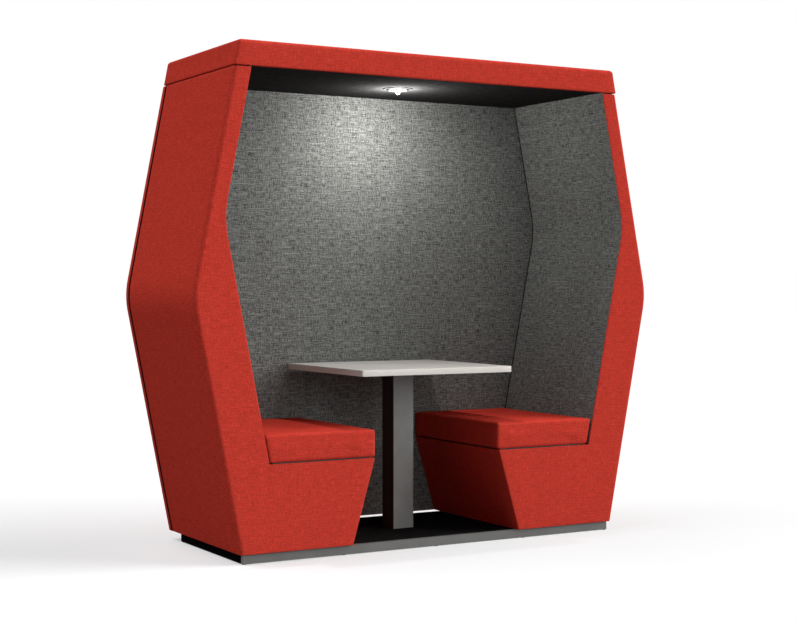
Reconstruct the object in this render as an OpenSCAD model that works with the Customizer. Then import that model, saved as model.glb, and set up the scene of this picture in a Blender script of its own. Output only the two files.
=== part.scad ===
// Two-seat acoustic booth: leaning bench walls, a back wall, a roof and a table on a plinth.
// x runs across the booth, y from its open front to its back, z up from the floor.

/* [Overall] */
// Height from the floor to the top of the roof
height = 2000; // [1850:5:2300]
// Width across the two outer kinks, before they are rounded
kink_w = 2151; // [2050:1:2600]
// Depth of the roof from front to back
roof_d = 736; // [660:1:1000]
// Angle at which each wall leans out, and back in above its kink
lean = 11.15; // [9:0.05:12.5]

/* [Walls] */
// Height of the outer kink
kink_z = 1024; // [850:1:1150]
// Height of the kink inside the cabin
inner_kink_z = 1323; // [1200:1:1450]
// Radius of the outer kink
kink_r = 330; // [60:5:450]
// Radius of the kink inside the cabin
inner_kink_r = 400; // [60:5:450]
// Width of the wall's front face where it meets the roof
wall_top_w = 72; // [60:1:110]
// Thickness of the padded outer skin
skin_t = 16; // [10:1:20]
// Thickness of the padded front
front_t = 16; // [10:1:24]
// Thickness of the grey lining
lining_t = 10; // [6:1:14]
// How far the front's cover laps over the lining's edge
front_lip = 3; // [1:0.5:6]

/* [Carcass] */
// Thickness of the ribs and the boards that join them
rib_t = 18; // [12:1:24]
// Width of a rail between the ribs
rail_w = 45; // [30:1:60]
// Thickness of a rail between the ribs
rail_t = 18; // [12:1:22]

/* [Bench] */
// Height of the bench's deck
deck_z = 378; // [330:1:430]
// Thickness of the deck board
deck_t = 12; // [9:1:18]
// Distance between the benches at the deck
bench_gap = 592; // [500:1:700]
// Distance between the benches at the plinth
bench_foot_gap = 790; // [700:1:900]
// Thickness of the padded bench face
bench_skin_t = 12; // [8:1:16]

/* [Cushion] */
// Thickness of the cushion at its edge
cushion_t = 108; // [80:1:140]
// Rise of the cushion's middle above its edge
cushion_crown = 4; // [0:0.5:12]
// How far each side of the cushion is drawn in between its corners
cushion_draw = 3; // [0:0.5:8]
// Radius of the cushion's long edges
cushion_r = 12; // [6:1:20]
// Radius of the cushion's upright corners
cushion_corner_r = 14; // [8:1:30]
// Clearance between the cushion and what surrounds it
cushion_gap = 4; // [2:0.5:8]
// Distance that the cushion stands back from the bench's deck edge
cushion_setback = 2; // [1:0.5:10]
// Thickness of the dark board under the cushion, which shows as a gap line
seat_board_t = 5; // [3:0.5:8]
// Distance that this board stands back from the cushion's edge
seat_board_inset = 14; // [8:1:30]
// Lift of the board off the deck, so that it draws out freely
seat_board_lift = 0.3; // [0.2:0.1:1]

/* [Back] */
// Thickness of the back wall behind the side walls
back_t = 33; // [26:1:45]
// Dark seam between a side wall and the back wall
seam_gap = 2; // [1:0.5:4]
// Thickness of the back wall's red cover
back_skin_t = 12; // [8:1:14]
// Thickness of the back wall's grey lining
back_lining_t = 6; // [4:0.5:10]
// Clearance round the edge of the back wall's lining
lining_fit = 0.5; // [0.3:0.1:2]

/* [Roof] */
// Height of the roof box
roof_h = 99; // [85:1:140]
// Thickness of the roof's padded cover
roof_skin_t = 14; // [8:1:18]
// Radius of the roof's upper edges
roof_r = 16; // [6:1:30]
// Distance that the roof stands forward of the side walls
roof_over_front = 4; // [1:0.5:20]
// Distance that the roof stands behind the back wall
roof_over_back = 7; // [1:0.5:20]
// Dark gap between the roof and the walls
roof_gap = 4; // [2:0.5:8]
// Distance that the strip in this gap stands back
gap_strip_inset = 10; // [5:1:14]
// Thickness of the ceiling board
ceiling_t = 6; // [4:0.5:10]
// Thickness of the boards of the roof frame
roof_board_t = 18; // [12:1:24]

/* [Plinth] */
// Height of the plinth
plinth_h = 38; // [36:1:60]
// Distance that the plinth stands back from the front
plinth_front_inset = 13; // [5:1:40]
// Distance that the plinth stands in from a side wall's foot
plinth_side_inset = 16; // [8:1:40]
// Open slot between the plinth and the back wall
plinth_slot = 48; // [20:1:80]
// Thickness of the plinth's rails
plinth_rail_t = 18; // [15:1:22]
// Thickness of the floor board
floor_board_t = 18; // [12:1:20]
// Thickness of the floor's carpet
carpet_t = 4; // [2:0.5:6]
// Width of a bearer under the floor board
bearer_w = 40; // [30:1:60]
// Height of a glide under the plinth
glide_h = 2; // [1.5:0.1:3]
// Radius of a glide
glide_r = 8; // [6:0.5:8.5]

/* [Table] */
// Height of the table's top face
table_h = 729; // [680:1:760]
// Thickness of the table top
table_t = 25; // [18:1:30]
// Width of the table top
table_w = 710; // [600:1:800]
// Radius of the table top's upright corners
table_corner_r = 3; // [1:0.5:20]
// Gap between the table top and the back wall
table_wall_gap = 12; // [5:1:40]
// Width of the square post
post_w = 98; // [80:1:120]
// Wall of the post
post_wall = 3; // [2:0.5:5]
// Radius of the post's upright edges
post_r = 3; // [2:0.5:8]
// Width of the steel plate under the table top
top_plate_w = 260; // [220:5:320]
// Thickness of the steel plate under the table top
top_plate_t = 6; // [4:0.5:8]
// Width of the steel foot plate under the floor board
foot_plate_w = 200; // [190:1:210]
// Thickness of the foot plate
foot_plate_t = 6; // [4:0.5:8]

/* [Lamp] */
// Radius of the lamp's trim ring
trim_r = 62; // [60:0.5:75]
// Thickness of the trim ring below the ceiling
trim_t = 3; // [2:0.5:5]
// Radius of the bore that the lamp head tilts in
trim_bore_r = 53; // [52:0.5:54]
// Wall of the trim's sleeve
sleeve_wall = 2; // [1:0.5:3]
// Height of the sleeve above the ceiling's face
sleeve_h = 24; // [18:1:30]
// Radius of the tilting lamp head
head_r = 49.5; // [46:0.5:50]
// Height of the lamp head's rim
head_rim_h = 12; // [9:1:14]
// Height of the tilt axis above the ceiling's face
tilt_z = 2; // [1:0.5:3]
// Radius of the lit lens
lens_r = 38.5; // [30:0.5:42]
// Thickness of the lens
lens_t = 4; // [2:0.5:5]
// Radius of the small dome in the middle of the lens
dome_r = 12; // [8:0.5:14]
// Depth of the dome below the lens
dome_h = 16; // [12.5:0.5:20]
// Radius of the heat sink's core
sink_r = 22; // [16:1:26]
// Reach of the heat sink's fins from its axis
fin_reach = 32; // [28:1:36]
// Height of the heat sink
sink_h = 38; // [25:1:44]
// Number of fins
fin_count = 16; // [8:2:20]
// Thickness of a fin
fin_t = 2; // [1:0.5:3]
// Radius of the tilt pins
pin_r = 1.5; // [1:0.25:2]
// Running clearance round a tilt pin
pin_fit = 0.05; // [0.02:0.01:0.1]

/* [Electrics] */
// Length of the lamp's driver
driver_l = 120; // [90:5:150]
// Width of the driver
driver_w = 42; // [30:1:50]
// Height of the driver
driver_h = 26; // [18:1:32]
// Radius of the supply lead and of the lamp lead
lead_r = 3.5; // [2.5:0.5:4.5]
// Width of the mains inlet
inlet_w = 48; // [44:1:60]
// Height of the mains inlet
inlet_h = 30; // [26:1:36]
// Thickness of the inlet's flange, sunk flush in the roof's cover
inlet_flange_t = 2; // [1.5:0.5:3]
// Depth of the inlet's body
inlet_body_d = 24; // [20:1:32]

/* [Fixings] */
// Radius of a bolt's shank
bolt_r = 4; // [3:0.5:5]
// Radius of a bolt's head
bolt_head_r = 8; // [7:0.5:9]
// Height of a bolt's head
bolt_head_h = 4; // [3:0.5:5]
// Height of a nut
nut_h = 5; // [4:0.5:6]
// Clearance of a bolt in its hole
bolt_fit = 0.25; // [0.1:0.05:0.5]
// Radius of a wood screw's shank
screw_r = 2.5; // [2:0.25:3]
// Depth of a wood screw in the table top
screw_bite = 16; // [10:1:17]

/* [Hidden] */

// Colours, as the photograph shows them
red = [0.72, 0.21, 0.17];
melange = [0.42, 0.42, 0.41];
black = [0.06, 0.06, 0.06];
plinth_grey = [0.38, 0.38, 0.37];
ply = [0.76, 0.63, 0.45];
laminate = [0.68, 0.67, 0.65];
steel = [0.62, 0.62, 0.63];
white = [0.93, 0.93, 0.90];

// Overrun of a cut past the face that it opens
over = 1;
// Steps of an outline's arcs
arc_n = 12;

// Main places
roof_z = height - roof_h;
skin_top = roof_z - roof_gap;
side_d = roof_d - roof_over_front - roof_over_back - back_t - seam_gap;
back_y = side_d + seam_gap;
wall_y = back_y - back_lining_t;
front_y = -roof_d / 2 + roof_over_front;
mid_y = (wall_y - table_wall_gap - roof_over_front) / 2;
core_t = back_t - back_skin_t;

// Outer and inner faces of a side wall
function shift(t) = t / cos(lean);
function out_x(z) = kink_w / 2 - tan(lean) * abs(z - kink_z);
inner_apex = out_x(roof_z) - wall_top_w + tan(lean) * (roof_z - inner_kink_z);
function in_x(z) = inner_apex - tan(lean) * abs(z - inner_kink_z);
function rev(v) = [for (i = [len(v) - 1:-1:0]) v[i]];
function mirrored(v) = [for (p = rev(v)) [-p[0], p[1]]];

// A leaning face from z_lo up to z_hi, with an arc at its kink
function face(apex_x, apex_z, r, z_lo, z_hi) = concat(
    [[apex_x - tan(lean) * (apex_z - z_lo), z_lo]],
    [for (i = [0:arc_n]) let (a = lean * (2 * i / arc_n - 1))
        [apex_x - r / cos(lean) + r * cos(a), apex_z + r * sin(a)]],
    [[apex_x - tan(lean) * (z_hi - apex_z), z_hi]]);
function outer_face(t, z_lo, z_hi) = face(kink_w / 2 - shift(t), kink_z, kink_r - t, z_lo, z_hi);
function inner_face(t, z_lo, z_hi) = face(inner_apex + shift(t), inner_kink_z, inner_kink_r + t, z_lo, z_hi);

// The bench's slanting face, moved in by t
bench_slant = atan((bench_foot_gap - bench_gap) / 2 / (deck_z - plinth_h));
function slant_x(z, t) = bench_gap / 2 + tan(bench_slant) * (deck_z - z) + t / cos(bench_slant);

// Outline of a side wall with its bench, each face moved in by its own amount
function side_outline(outer, inner, deck, slant, z_lo, z_hi) = concat(
    outer_face(outer, z_lo, z_hi),
    rev(inner_face(inner, deck_z - deck, z_hi)),
    [[slant_x(deck_z - deck, slant), deck_z - deck], [slant_x(z_lo, slant), z_lo]]);

// A solid with this outline in x and z, between two depths
module prism(points, y0, y1) {
    translate([0, y1, 0]) rotate([90, 0, 0]) linear_extrude(height = y1 - y0) polygon(points);
}

// Moves from the side walls' front plane to the part's own origin
module from_front() {
    translate([0, front_y, 0]) children();
}

module at_left() {
    mirror([1, 0, 0]) children();
}

module box(x0, x1, y0, y1, z0, z1) {
    translate([x0, y0, z0]) cube([x1 - x0, y1 - y0, z1 - z0]);
}

// Plinth
plinth_x = out_x(plinth_h) - plinth_side_inset;
plinth_y0 = plinth_front_inset;
plinth_y1 = wall_y - plinth_slot;
floor_top = plinth_h - carpet_t;
bearer_top = floor_top - floor_board_t;
bearer_shares = [0.19, 0.50, 0.81];

module plinth_front() {
    color(plinth_grey) from_front()
        box(-plinth_x, plinth_x, plinth_y0, plinth_y0 + plinth_rail_t, glide_h, plinth_h);
}

module plinth_sides() {
    color(black) from_front() for (s = [0, 1]) mirror([s, 0, 0])
        box(plinth_x - plinth_rail_t, plinth_x, plinth_y0 + plinth_rail_t, plinth_y1 - plinth_rail_t,
            glide_h, plinth_h);
}

module plinth_back() {
    color(black) from_front()
        box(-plinth_x, plinth_x, plinth_y1 - plinth_rail_t, plinth_y1, glide_h, plinth_h);
}

module plinth_bearers() {
    color(ply) from_front() for (s = [-1, 1], share = bearer_shares)
        translate([s * share * plinth_x - bearer_w / 2, plinth_y0 + plinth_rail_t, glide_h])
            cube([bearer_w, plinth_y1 - plinth_y0 - 2 * plinth_rail_t, bearer_top - glide_h]);
}

module post_hole(z0, z1) {
    translate([0, mid_y, z0]) linear_extrude(height = z1 - z0)
        square(post_w + 2 * bolt_fit, center = true);
}

module floor_board() {
    color(ply) from_front() difference() {
        box(-plinth_x + plinth_rail_t, plinth_x - plinth_rail_t, plinth_y0 + plinth_rail_t,
            plinth_y1 - plinth_rail_t, bearer_top, floor_top);
        post_hole(bearer_top - over, floor_top + over);
        foot_holes(bearer_top - over, floor_top + over);
        translate([0, 0, floor_top - bolt_head_h]) foot_places()
            cylinder(r = bolt_head_r + bolt_fit, h = bolt_head_h + over, $fn = 32);
        base_holes(bearer_top - over, floor_top + over);
    }
}

module floor_carpet() {
    color(black) from_front() difference() {
        box(-plinth_x + plinth_rail_t, plinth_x - plinth_rail_t, plinth_y0 + plinth_rail_t,
            plinth_y1 - plinth_rail_t, floor_top, plinth_h);
        post_hole(floor_top - over, plinth_h + over);
        base_holes(floor_top - over, plinth_h + over);
    }
}

// One glide under each end and the middle of the front and back rails
module floor_glides() {
    glide_y0 = plinth_y0 + plinth_rail_t / 2;
    glide_y1 = plinth_y1 - plinth_rail_t / 2;
    color(black) from_front() for (x = [-1, -0.5, 0, 0.5, 1], y = [glide_y0, glide_y1])
        translate([x * (plinth_x - plinth_rail_t / 2), y, 0]) cylinder(r = glide_r, h = glide_h, $fn = 32);
}

// Side walls with their benches
module side_shell() {
    color(red) from_front() difference() {
        union() {
            prism(side_outline(0, 0, 0, 0, plinth_h, roof_z), 0, front_t);
            prism(side_outline(0, 0, 0, 0, plinth_h, skin_top), 0, side_d);
        }
        prism(side_outline(skin_t, -over, -over, bench_skin_t, plinth_h - over, roof_z + over),
            front_t, side_d + over);
        prism(concat(inner_face(lining_t, deck_z, roof_z + over),
            rev(inner_face(-over, deck_z, roof_z + over))), front_lip, side_d + over);
    }
}

module side_lining() {
    color(melange) from_front()
        prism(concat(inner_face(lining_t, deck_z, roof_z), rev(inner_face(0, deck_z, roof_z))),
            front_lip, wall_y);
}

rib_lo = plinth_h + rib_t;
rib_hi = skin_top - rib_t;
rib_mid_y = (front_t + side_d - rib_t) / 2;

module side_ribs() {
    color(ply) from_front() difference() {
        for (y = [front_t, rib_mid_y, side_d - rib_t])
            prism(side_outline(skin_t, lining_t, deck_t, bench_skin_t, rib_lo, rib_hi), y, y + rib_t);
        back_places() rotate([90, 0, 0])
            cylinder(r = bolt_r + bolt_fit, h = core_t + seam_gap + rib_t + over, $fn = 32);
    }
}

// A rail between two ribs, its upright face at x
module rail(x, z) {
    for (y = [[front_t + rib_t, rib_mid_y], [rib_mid_y + rib_t, side_d - rib_t]])
        box(x, x + rail_t, y[0], y[1], z - rail_w / 2, z + rail_w / 2);
}

outer_rail_x = kink_w / 2 - kink_r / cos(lean) + (kink_r - skin_t) * cos(lean) - rail_t;
inner_rail_x = inner_apex - inner_kink_r / cos(lean) + inner_kink_r + lining_t;
nose_rail_z = deck_z - deck_t - rail_w / 2;

module side_rails() {
    color(ply) from_front() {
        rail(outer_rail_x, kink_z);
        rail(inner_rail_x, inner_kink_z);
        rail(slant_x(nose_rail_z - rail_w / 2, bench_skin_t), nose_rail_z);
        rail(in_x(nose_rail_z) + shift(lining_t) - rail_t, nose_rail_z);
    }
}

// The foot board and the head board of a side wall
module side_boards() {
    inside = side_outline(skin_t, lining_t, deck_t, bench_skin_t, plinth_h, skin_top);
    color(ply) from_front() difference() {
        for (z = [[plinth_h, rib_lo], [rib_hi, skin_top]]) intersection() {
            prism(inside, front_t, side_d);
            box(0, kink_w, front_t, side_d, z[0], z[1]);
        }
        base_holes(plinth_h - over, rib_lo + over);
        roof_holes(rib_hi - over, skin_top + over);
    }
}

module side_deck() {
    color(ply) from_front() prism([
        [slant_x(deck_z - deck_t, bench_skin_t), deck_z - deck_t],
        [in_x(deck_z - deck_t) + shift(lining_t), deck_z - deck_t],
        [in_x(deck_z) + shift(lining_t), deck_z],
        [slant_x(deck_z, bench_skin_t), deck_z]], front_t, side_d);
}

module side_gap_strip() {
    color(black) from_front() difference() {
        box(in_x(skin_top) + shift(lining_t), out_x(roof_z) - gap_strip_inset, front_t, side_d,
            skin_top, roof_z);
        roof_holes(skin_top - over, roof_z + over);
    }
}

// Seat cushion and the board under it
seat_board_z = deck_z + seat_board_lift;
cushion_z0 = seat_board_z + seat_board_t;
cushion_z1 = cushion_z0 + cushion_t;
cushion_y0 = front_lip / 2;
cushion_y1 = wall_y - cushion_gap / 2;
function cushion_x0(z) = bench_gap / 2 + cushion_setback;
function cushion_x1(z) = in_x(z) - shift(cushion_gap);

module side_seat_board() {
    color(black) from_front() prism([
        [cushion_x0(deck_z) + seat_board_inset, seat_board_z],
        [cushion_x1(deck_z) - seat_board_inset, seat_board_z],
        [cushion_x1(deck_z) - seat_board_inset, cushion_z0],
        [cushion_x0(deck_z) + seat_board_inset, cushion_z0]],
        cushion_y0 + seat_board_inset, cushion_y1 - seat_board_inset);
}

// Cushion: rings from the middle of its underside, out, up its sides and in over its crown.
// A ring is [height, inset from the side, share of the way out to the edge].
side_steps = 6;
corner_steps = 3;
edge_steps = 3;
in_shares = [0.35, 0.7];
out_shares = [0.85, 0.65, 0.4, 0.18];
edge_lo = [for (i = [0:edge_steps]) let (a = 90 * i / edge_steps)
    [cushion_z0 + cushion_r * (1 - cos(a)), cushion_r * (1 - sin(a)), 1]];
edge_hi = [for (i = [0:edge_steps]) let (a = 90 * i / edge_steps)
    [cushion_z1 - cushion_r * (1 - sin(a)), cushion_r * (1 - cos(a)), 1]];
cushion_rings = concat(
    [for (s = in_shares) [cushion_z0, cushion_r, s]], edge_lo,
    [[(cushion_z0 + cushion_z1) / 2, 0, 1]], edge_hi,
    [for (s = out_shares) [cushion_z1, cushion_r, s]]);

// Unit outline: a square of half side 1 whose corners are rounded by (cx, cy) shares
function unit_outline(cx, cy) = [
    for (q = [0:3]) for (i = [0:corner_steps + side_steps - 1])
        let (sx = q == 0 || q == 3 ? 1 : -1, sy = q < 2 ? 1 : -1,
            a = 90 * (q + min(i, corner_steps) / corner_steps),
            arc = [sx * (1 - cx) + cx * cos(a), sy * (1 - cy) + cy * sin(a)],
            k = max(i - corner_steps, 0) / side_steps,
            run = q % 2 == 0 ? [-2 * sx * (1 - cx) * k, 0] : [0, -2 * sy * (1 - cy) * k])
        arc + run];
function bow(s) = max(0, 1 - s * s);
function ring_points(ring) = let (
        z = ring[0], inset = ring[1], share = ring[2],
        lx = (cushion_x1(z) - cushion_x0(z)) / 2, ly = (cushion_y1 - cushion_y0) / 2,
        mx = (cushion_x1(z) + cushion_x0(z)) / 2, my = (cushion_y1 + cushion_y0) / 2,
        crown = z == cushion_z1 ? cushion_crown : 0)
    [for (p = unit_outline(cushion_corner_r / lx, cushion_corner_r / ly)) let (
            px = p[0] * (lx - inset - cushion_draw * bow(p[1])) * share,
            py = p[1] * (ly - inset - cushion_draw * bow(p[0])) * share)
        [mx + px, my + py, z + crown * bow(px / lx) * bow(py / ly)]];
ring_n = 4 * (corner_steps + side_steps);

module side_cushion() {
    points = [for (ring = cushion_rings) each ring_points(ring)];
    last = len(cushion_rings) - 1;
    low_mid = len(points);
    mid_x = (cushion_x0(cushion_z0) + cushion_x1(cushion_z0)) / 2;
    mid_top_x = (cushion_x0(cushion_z1) + cushion_x1(cushion_z1)) / 2;
    mid = (cushion_y0 + cushion_y1) / 2;
    walls = [for (r = [0:last - 1], i = [0:ring_n - 1]) let (
            j = (i + 1) % ring_n, a = r * ring_n, b = a + ring_n)
        each [[a + i, b + j, a + j], [a + i, b + i, b + j]]];
    caps = [for (i = [0:ring_n - 1]) let (j = (i + 1) % ring_n)
        each [[low_mid, i, j], [low_mid + 1, last * ring_n + j, last * ring_n + i]]];
    color(red) from_front() polyhedron(
        points = concat(points, [[mid_x, mid, cushion_z0], [mid_top_x, mid, cushion_z1 + cushion_crown]]),
        faces = concat(walls, caps));
}

module left_shell() { at_left() side_shell(); }
module right_shell() { side_shell(); }
module left_lining() { at_left() side_lining(); }
module right_lining() { side_lining(); }
module left_ribs() { at_left() side_ribs(); }
module right_ribs() { side_ribs(); }
module left_rails() { at_left() side_rails(); }
module right_rails() { side_rails(); }
module left_boards() { at_left() side_boards(); }
module right_boards() { side_boards(); }
module left_deck() { at_left() side_deck(); }
module right_deck() { side_deck(); }
module left_gap_strip() { at_left() side_gap_strip(); }
module right_gap_strip() { side_gap_strip(); }
module left_seat_board() { at_left() side_seat_board(); }
module right_seat_board() { side_seat_board(); }
module left_cushion() { at_left() side_cushion(); }
module right_cushion() { side_cushion(); }

// Back wall
function hexagon(t, z_lo, z_hi) = concat(outer_face(t, z_lo, z_hi), mirrored(outer_face(t, z_lo, z_hi)));

module back_cover() {
    color(red) from_front() difference() {
        prism(hexagon(0, plinth_h, skin_top), back_y, back_y + back_t);
        prism(hexagon(back_skin_t, plinth_h + back_skin_t, skin_top - back_skin_t),
            back_y - over, back_y + core_t);
    }
}

module back_core() {
    color(ply) from_front() difference() {
        prism(hexagon(back_skin_t, plinth_h + back_skin_t, skin_top - back_skin_t),
            back_y, back_y + core_t);
        for (s = [0, 1]) mirror([s, 0, 0]) back_places() {
            translate([0, over, 0]) rotate([90, 0, 0])
                cylinder(r = bolt_r + bolt_fit, h = core_t + 2 * over, $fn = 32);
            translate([0, over, 0]) rotate([90, 0, 0])
                cylinder(r = bolt_head_r + bolt_fit, h = bolt_head_h + over, $fn = 32);
        }
    }
}

module back_lining() {
    half = concat([[slant_x(plinth_h, 0) - lining_fit, plinth_h]],
        [[slant_x(deck_z + lining_fit, 0) - lining_fit, deck_z + lining_fit]],
        inner_face(lining_t - lining_fit, deck_z + lining_fit, roof_z));
    color(melange) from_front() prism(concat(half, mirrored(half)), wall_y, back_y);
}

// Roof
roof_arc = [for (i = [0:arc_n]) lean + (90 - lean) * i / arc_n];
roof_half = concat([[out_x(roof_z), roof_z]],
    [for (a = roof_arc) [out_x(height - roof_r) - shift(roof_r) + roof_r * cos(a),
        height - roof_r + roof_r * sin(a)]]);
roof_y0 = -roof_over_front;
roof_y1 = roof_y0 + roof_d;
roof_side = [for (i = [0:arc_n]) let (a = 90 * i / arc_n) [roof_y1 - roof_r + roof_r * cos(a),
    height - roof_r + roof_r * sin(a)]];
roof_hollow_x0 = out_x(roof_z) - shift(roof_skin_t);
roof_hollow_x1 = out_x(height - roof_skin_t) - shift(roof_skin_t);
roof_hollow_z = height - roof_skin_t;
sleeve_r = trim_bore_r + sleeve_wall;
driver_x = sleeve_r + 3 * driver_w / 2;
inlet_x = driver_x + driver_l / 2;
inlet_z = roof_z + ceiling_t + driver_h / 2;

module roof_cover() {
    turned = [for (p = rev(roof_side)) [2 * roof_y0 + roof_d - p[0], p[1]]];
    color(red) from_front() difference() {
        intersection() {
            prism(concat(roof_half, mirrored(roof_half)), roof_y0, roof_y1);
            rotate([90, 0, 90]) translate([0, 0, -kink_w / 2]) linear_extrude(height = kink_w)
                polygon(concat([[roof_y1, roof_z]], roof_side, turned, [[roof_y0, roof_z]]));
        }
        prism([[-roof_hollow_x0, roof_z - over], [roof_hollow_x0, roof_z - over], [roof_hollow_x0, roof_z],
            [roof_hollow_x1, roof_hollow_z], [-roof_hollow_x1, roof_hollow_z], [-roof_hollow_x0, roof_z]],
            roof_y0 + roof_skin_t, roof_y1 - roof_skin_t);
        inlet_cut(0, roof_skin_t + over);
    }
}

roof_rail_x0 = in_x(roof_z) + shift(lining_t);
roof_in_y0 = roof_y0 + roof_skin_t;
roof_in_y1 = roof_y1 - roof_skin_t;
roof_frame_z = roof_z + ceiling_t;
driver_end = driver_x + driver_l;
roof_cross_shares = [0.08, 0.54];
// Depth that one board of the roof frame is housed in another
housing = 4;

module roof_frame() {
    color(ply) from_front() difference() {
        union() {
            for (s = [0, 1]) mirror([s, 0, 0])
                box(roof_rail_x0, roof_hollow_x1, roof_in_y0, roof_in_y1, roof_z, roof_hollow_z);
            for (y = [roof_in_y0, roof_in_y1 - roof_board_t])
                box(-roof_rail_x0 - housing, roof_rail_x0 + housing, y, y + roof_board_t,
                    roof_frame_z, roof_hollow_z);
            for (s = [0, 1], share = roof_cross_shares) mirror([s, 0, 0])
                let (x = driver_end + share * (roof_rail_x0 - driver_end) - roof_board_t / 2)
                box(x, x + roof_board_t, roof_in_y0 + roof_board_t - housing,
                    roof_in_y1 - roof_board_t + housing, roof_frame_z, roof_hollow_z);
        }
        for (s = [0, 1]) mirror([s, 0, 0]) roof_holes(roof_z - over, roof_hollow_z + over);
        for (s = [0, 1]) mirror([s, 0, 0]) translate([0, 0, roof_hollow_z - bolt_head_h]) roof_places()
            cylinder(r = bolt_head_r + bolt_fit, h = bolt_head_h + over, $fn = 32);
        inlet_cut(roof_skin_t - over, roof_skin_t + roof_board_t + over);
    }
}

module ceiling_panel() {
    color(black) from_front() difference() {
        box(-roof_rail_x0, roof_rail_x0, roof_in_y0, roof_in_y1, roof_z, roof_frame_z);
        translate([0, mid_y, roof_z - over])
            cylinder(r = trim_bore_r + sleeve_wall + bolt_fit, h = ceiling_t + 2 * over, $fn = 96);
    }
}

// Table
table_y0 = roof_y0;
table_y1 = wall_y - table_wall_gap;
post_top = table_h - table_t - top_plate_t;
plate_screw_share = 0.38;

module rounded_square(size_x, size_y, r, h) {
    linear_extrude(height = h) {
        square([size_x - 2 * r, size_y], center = true);
        square([size_x, size_y - 2 * r], center = true);
        for (sx = [-1, 1], sy = [-1, 1])
            translate([sx * (size_x / 2 - r), sy * (size_y / 2 - r)]) circle(r = r, $fn = 32);
    }
}

module screw_places() {
    for (sx = [-1, 1], sy = [-1, 1])
        translate([sx * plate_screw_share * top_plate_w, mid_y + sy * plate_screw_share * top_plate_w, 0])
            children();
}

module table_top() {
    color(laminate) from_front() difference() {
        translate([0, mid_y, table_h - table_t])
            rounded_square(table_w, table_y1 - table_y0, table_corner_r, table_t);
        translate([0, 0, table_h - table_t - over]) screw_places()
            cylinder(r = screw_r + bolt_fit, h = screw_bite + over + bolt_fit, $fn = 24);
    }
}

module table_plate() {
    color(plinth_grey) from_front() difference() {
        translate([0, mid_y, post_top]) rounded_square(top_plate_w, top_plate_w, post_r, top_plate_t);
        translate([0, 0, post_top - over]) screw_places()
            cylinder(r = screw_r + bolt_fit, h = top_plate_t + 2 * over, $fn = 24);
    }
}

module table_post() {
    color(plinth_grey) from_front() translate([0, mid_y, bearer_top]) difference() {
        rounded_square(post_w, post_w, post_r, post_top - bearer_top);
        translate([-post_w / 2 + post_wall, -post_w / 2 + post_wall, -over])
            cube([post_w - 2 * post_wall, post_w - 2 * post_wall, post_top - bearer_top + 2 * over]);
    }
}

module table_screws() {
    color(steel) from_front() translate([0, 0, post_top - screw_r]) screw_places() {
        cylinder(r = 2 * screw_r, h = screw_r, $fn = 24);
        cylinder(r = screw_r, h = screw_r + top_plate_t + screw_bite, $fn = 24);
    }
}

foot_share = 0.41;

module foot_places() {
    for (sx = [-1, 1], sy = [-1, 1])
        translate([sx * foot_share * foot_plate_w, mid_y + sy * foot_share * foot_plate_w, 0]) children();
}

module foot_holes(z0, z1) {
    foot_places() translate([0, 0, z0]) cylinder(r = bolt_r + bolt_fit, h = z1 - z0, $fn = 32);
}

foot_z = bearer_top - foot_plate_t;

module post_foot() {
    color(plinth_grey) from_front() difference() {
        translate([0, mid_y, foot_z]) rounded_square(foot_plate_w, foot_plate_w, post_r, foot_plate_t);
        foot_holes(foot_z - over, bearer_top + over);
    }
}

// A bolt hanging from its head's top at z, with its shank going down by l
module bolt(z, l) {
    translate([0, 0, z - bolt_head_h]) cylinder(r = bolt_head_r, h = bolt_head_h, $fn = 32);
    translate([0, 0, z - l]) cylinder(r = bolt_r, h = l - bolt_head_h / 2, $fn = 32);
}

module nut(z) {
    translate([0, 0, z - nut_h]) difference() {
        cylinder(r = 1.75 * bolt_r, h = nut_h, $fn = 6);
        translate([0, 0, -over]) cylinder(r = bolt_r + bolt_fit, h = nut_h + 2 * over, $fn = 32);
    }
}

module foot_bolts() {
    color(steel) from_front() foot_places() bolt(floor_top, floor_board_t + foot_plate_t + nut_h);
}

module foot_nuts() {
    color(steel) from_front() foot_places() nut(foot_z);
}

// Lamp, in the middle of the ceiling over the table
lamp_pivot = roof_z + tilt_z;
head_z0 = lamp_pivot - head_rim_h / 2;
// Width, thickness and reach of a spring clip
clip_w = 14;
clip_t = 1;
clip_reach = 22;

module lamp_trim() {
    color(black) from_front() translate([0, mid_y, 0]) difference() {
        union() {
            translate([0, 0, roof_z - trim_t]) cylinder(r = trim_r, h = trim_t, $fn = 96);
            translate([0, 0, roof_z]) cylinder(r = sleeve_r, h = sleeve_h, $fn = 96);
        }
        translate([0, 0, roof_z - trim_t - over])
            cylinder(r = trim_bore_r, h = sleeve_h + trim_t + 2 * over, $fn = 96);
        translate([-trim_r, 0, lamp_pivot]) rotate([0, 90, 0]) cylinder(r = pin_r, h = 2 * trim_r, $fn = 32);
    }
}

// Spring clips that bear on the ceiling board, front and back
module lamp_clips() {
    color(steel) from_front() translate([0, mid_y, 0]) for (s = [0, 1]) mirror([0, s, 0]) {
        box(-clip_w / 2, clip_w / 2, sleeve_r, sleeve_r + clip_t, roof_frame_z, roof_z + sleeve_h);
        box(-clip_w / 2, clip_w / 2, sleeve_r + clip_t, sleeve_r + clip_reach, roof_frame_z,
            roof_frame_z + clip_t);
    }
}

pin_l = sleeve_r - head_r + 2 * pin_r;

module lamp_pins() {
    color(steel) from_front() for (s = [0, 1]) mirror([s, 0, 0])
        translate([sleeve_r - pin_l, mid_y, lamp_pivot]) rotate([0, 90, 0])
            cylinder(r = pin_r, h = pin_l, $fn = 32);
}

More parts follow.
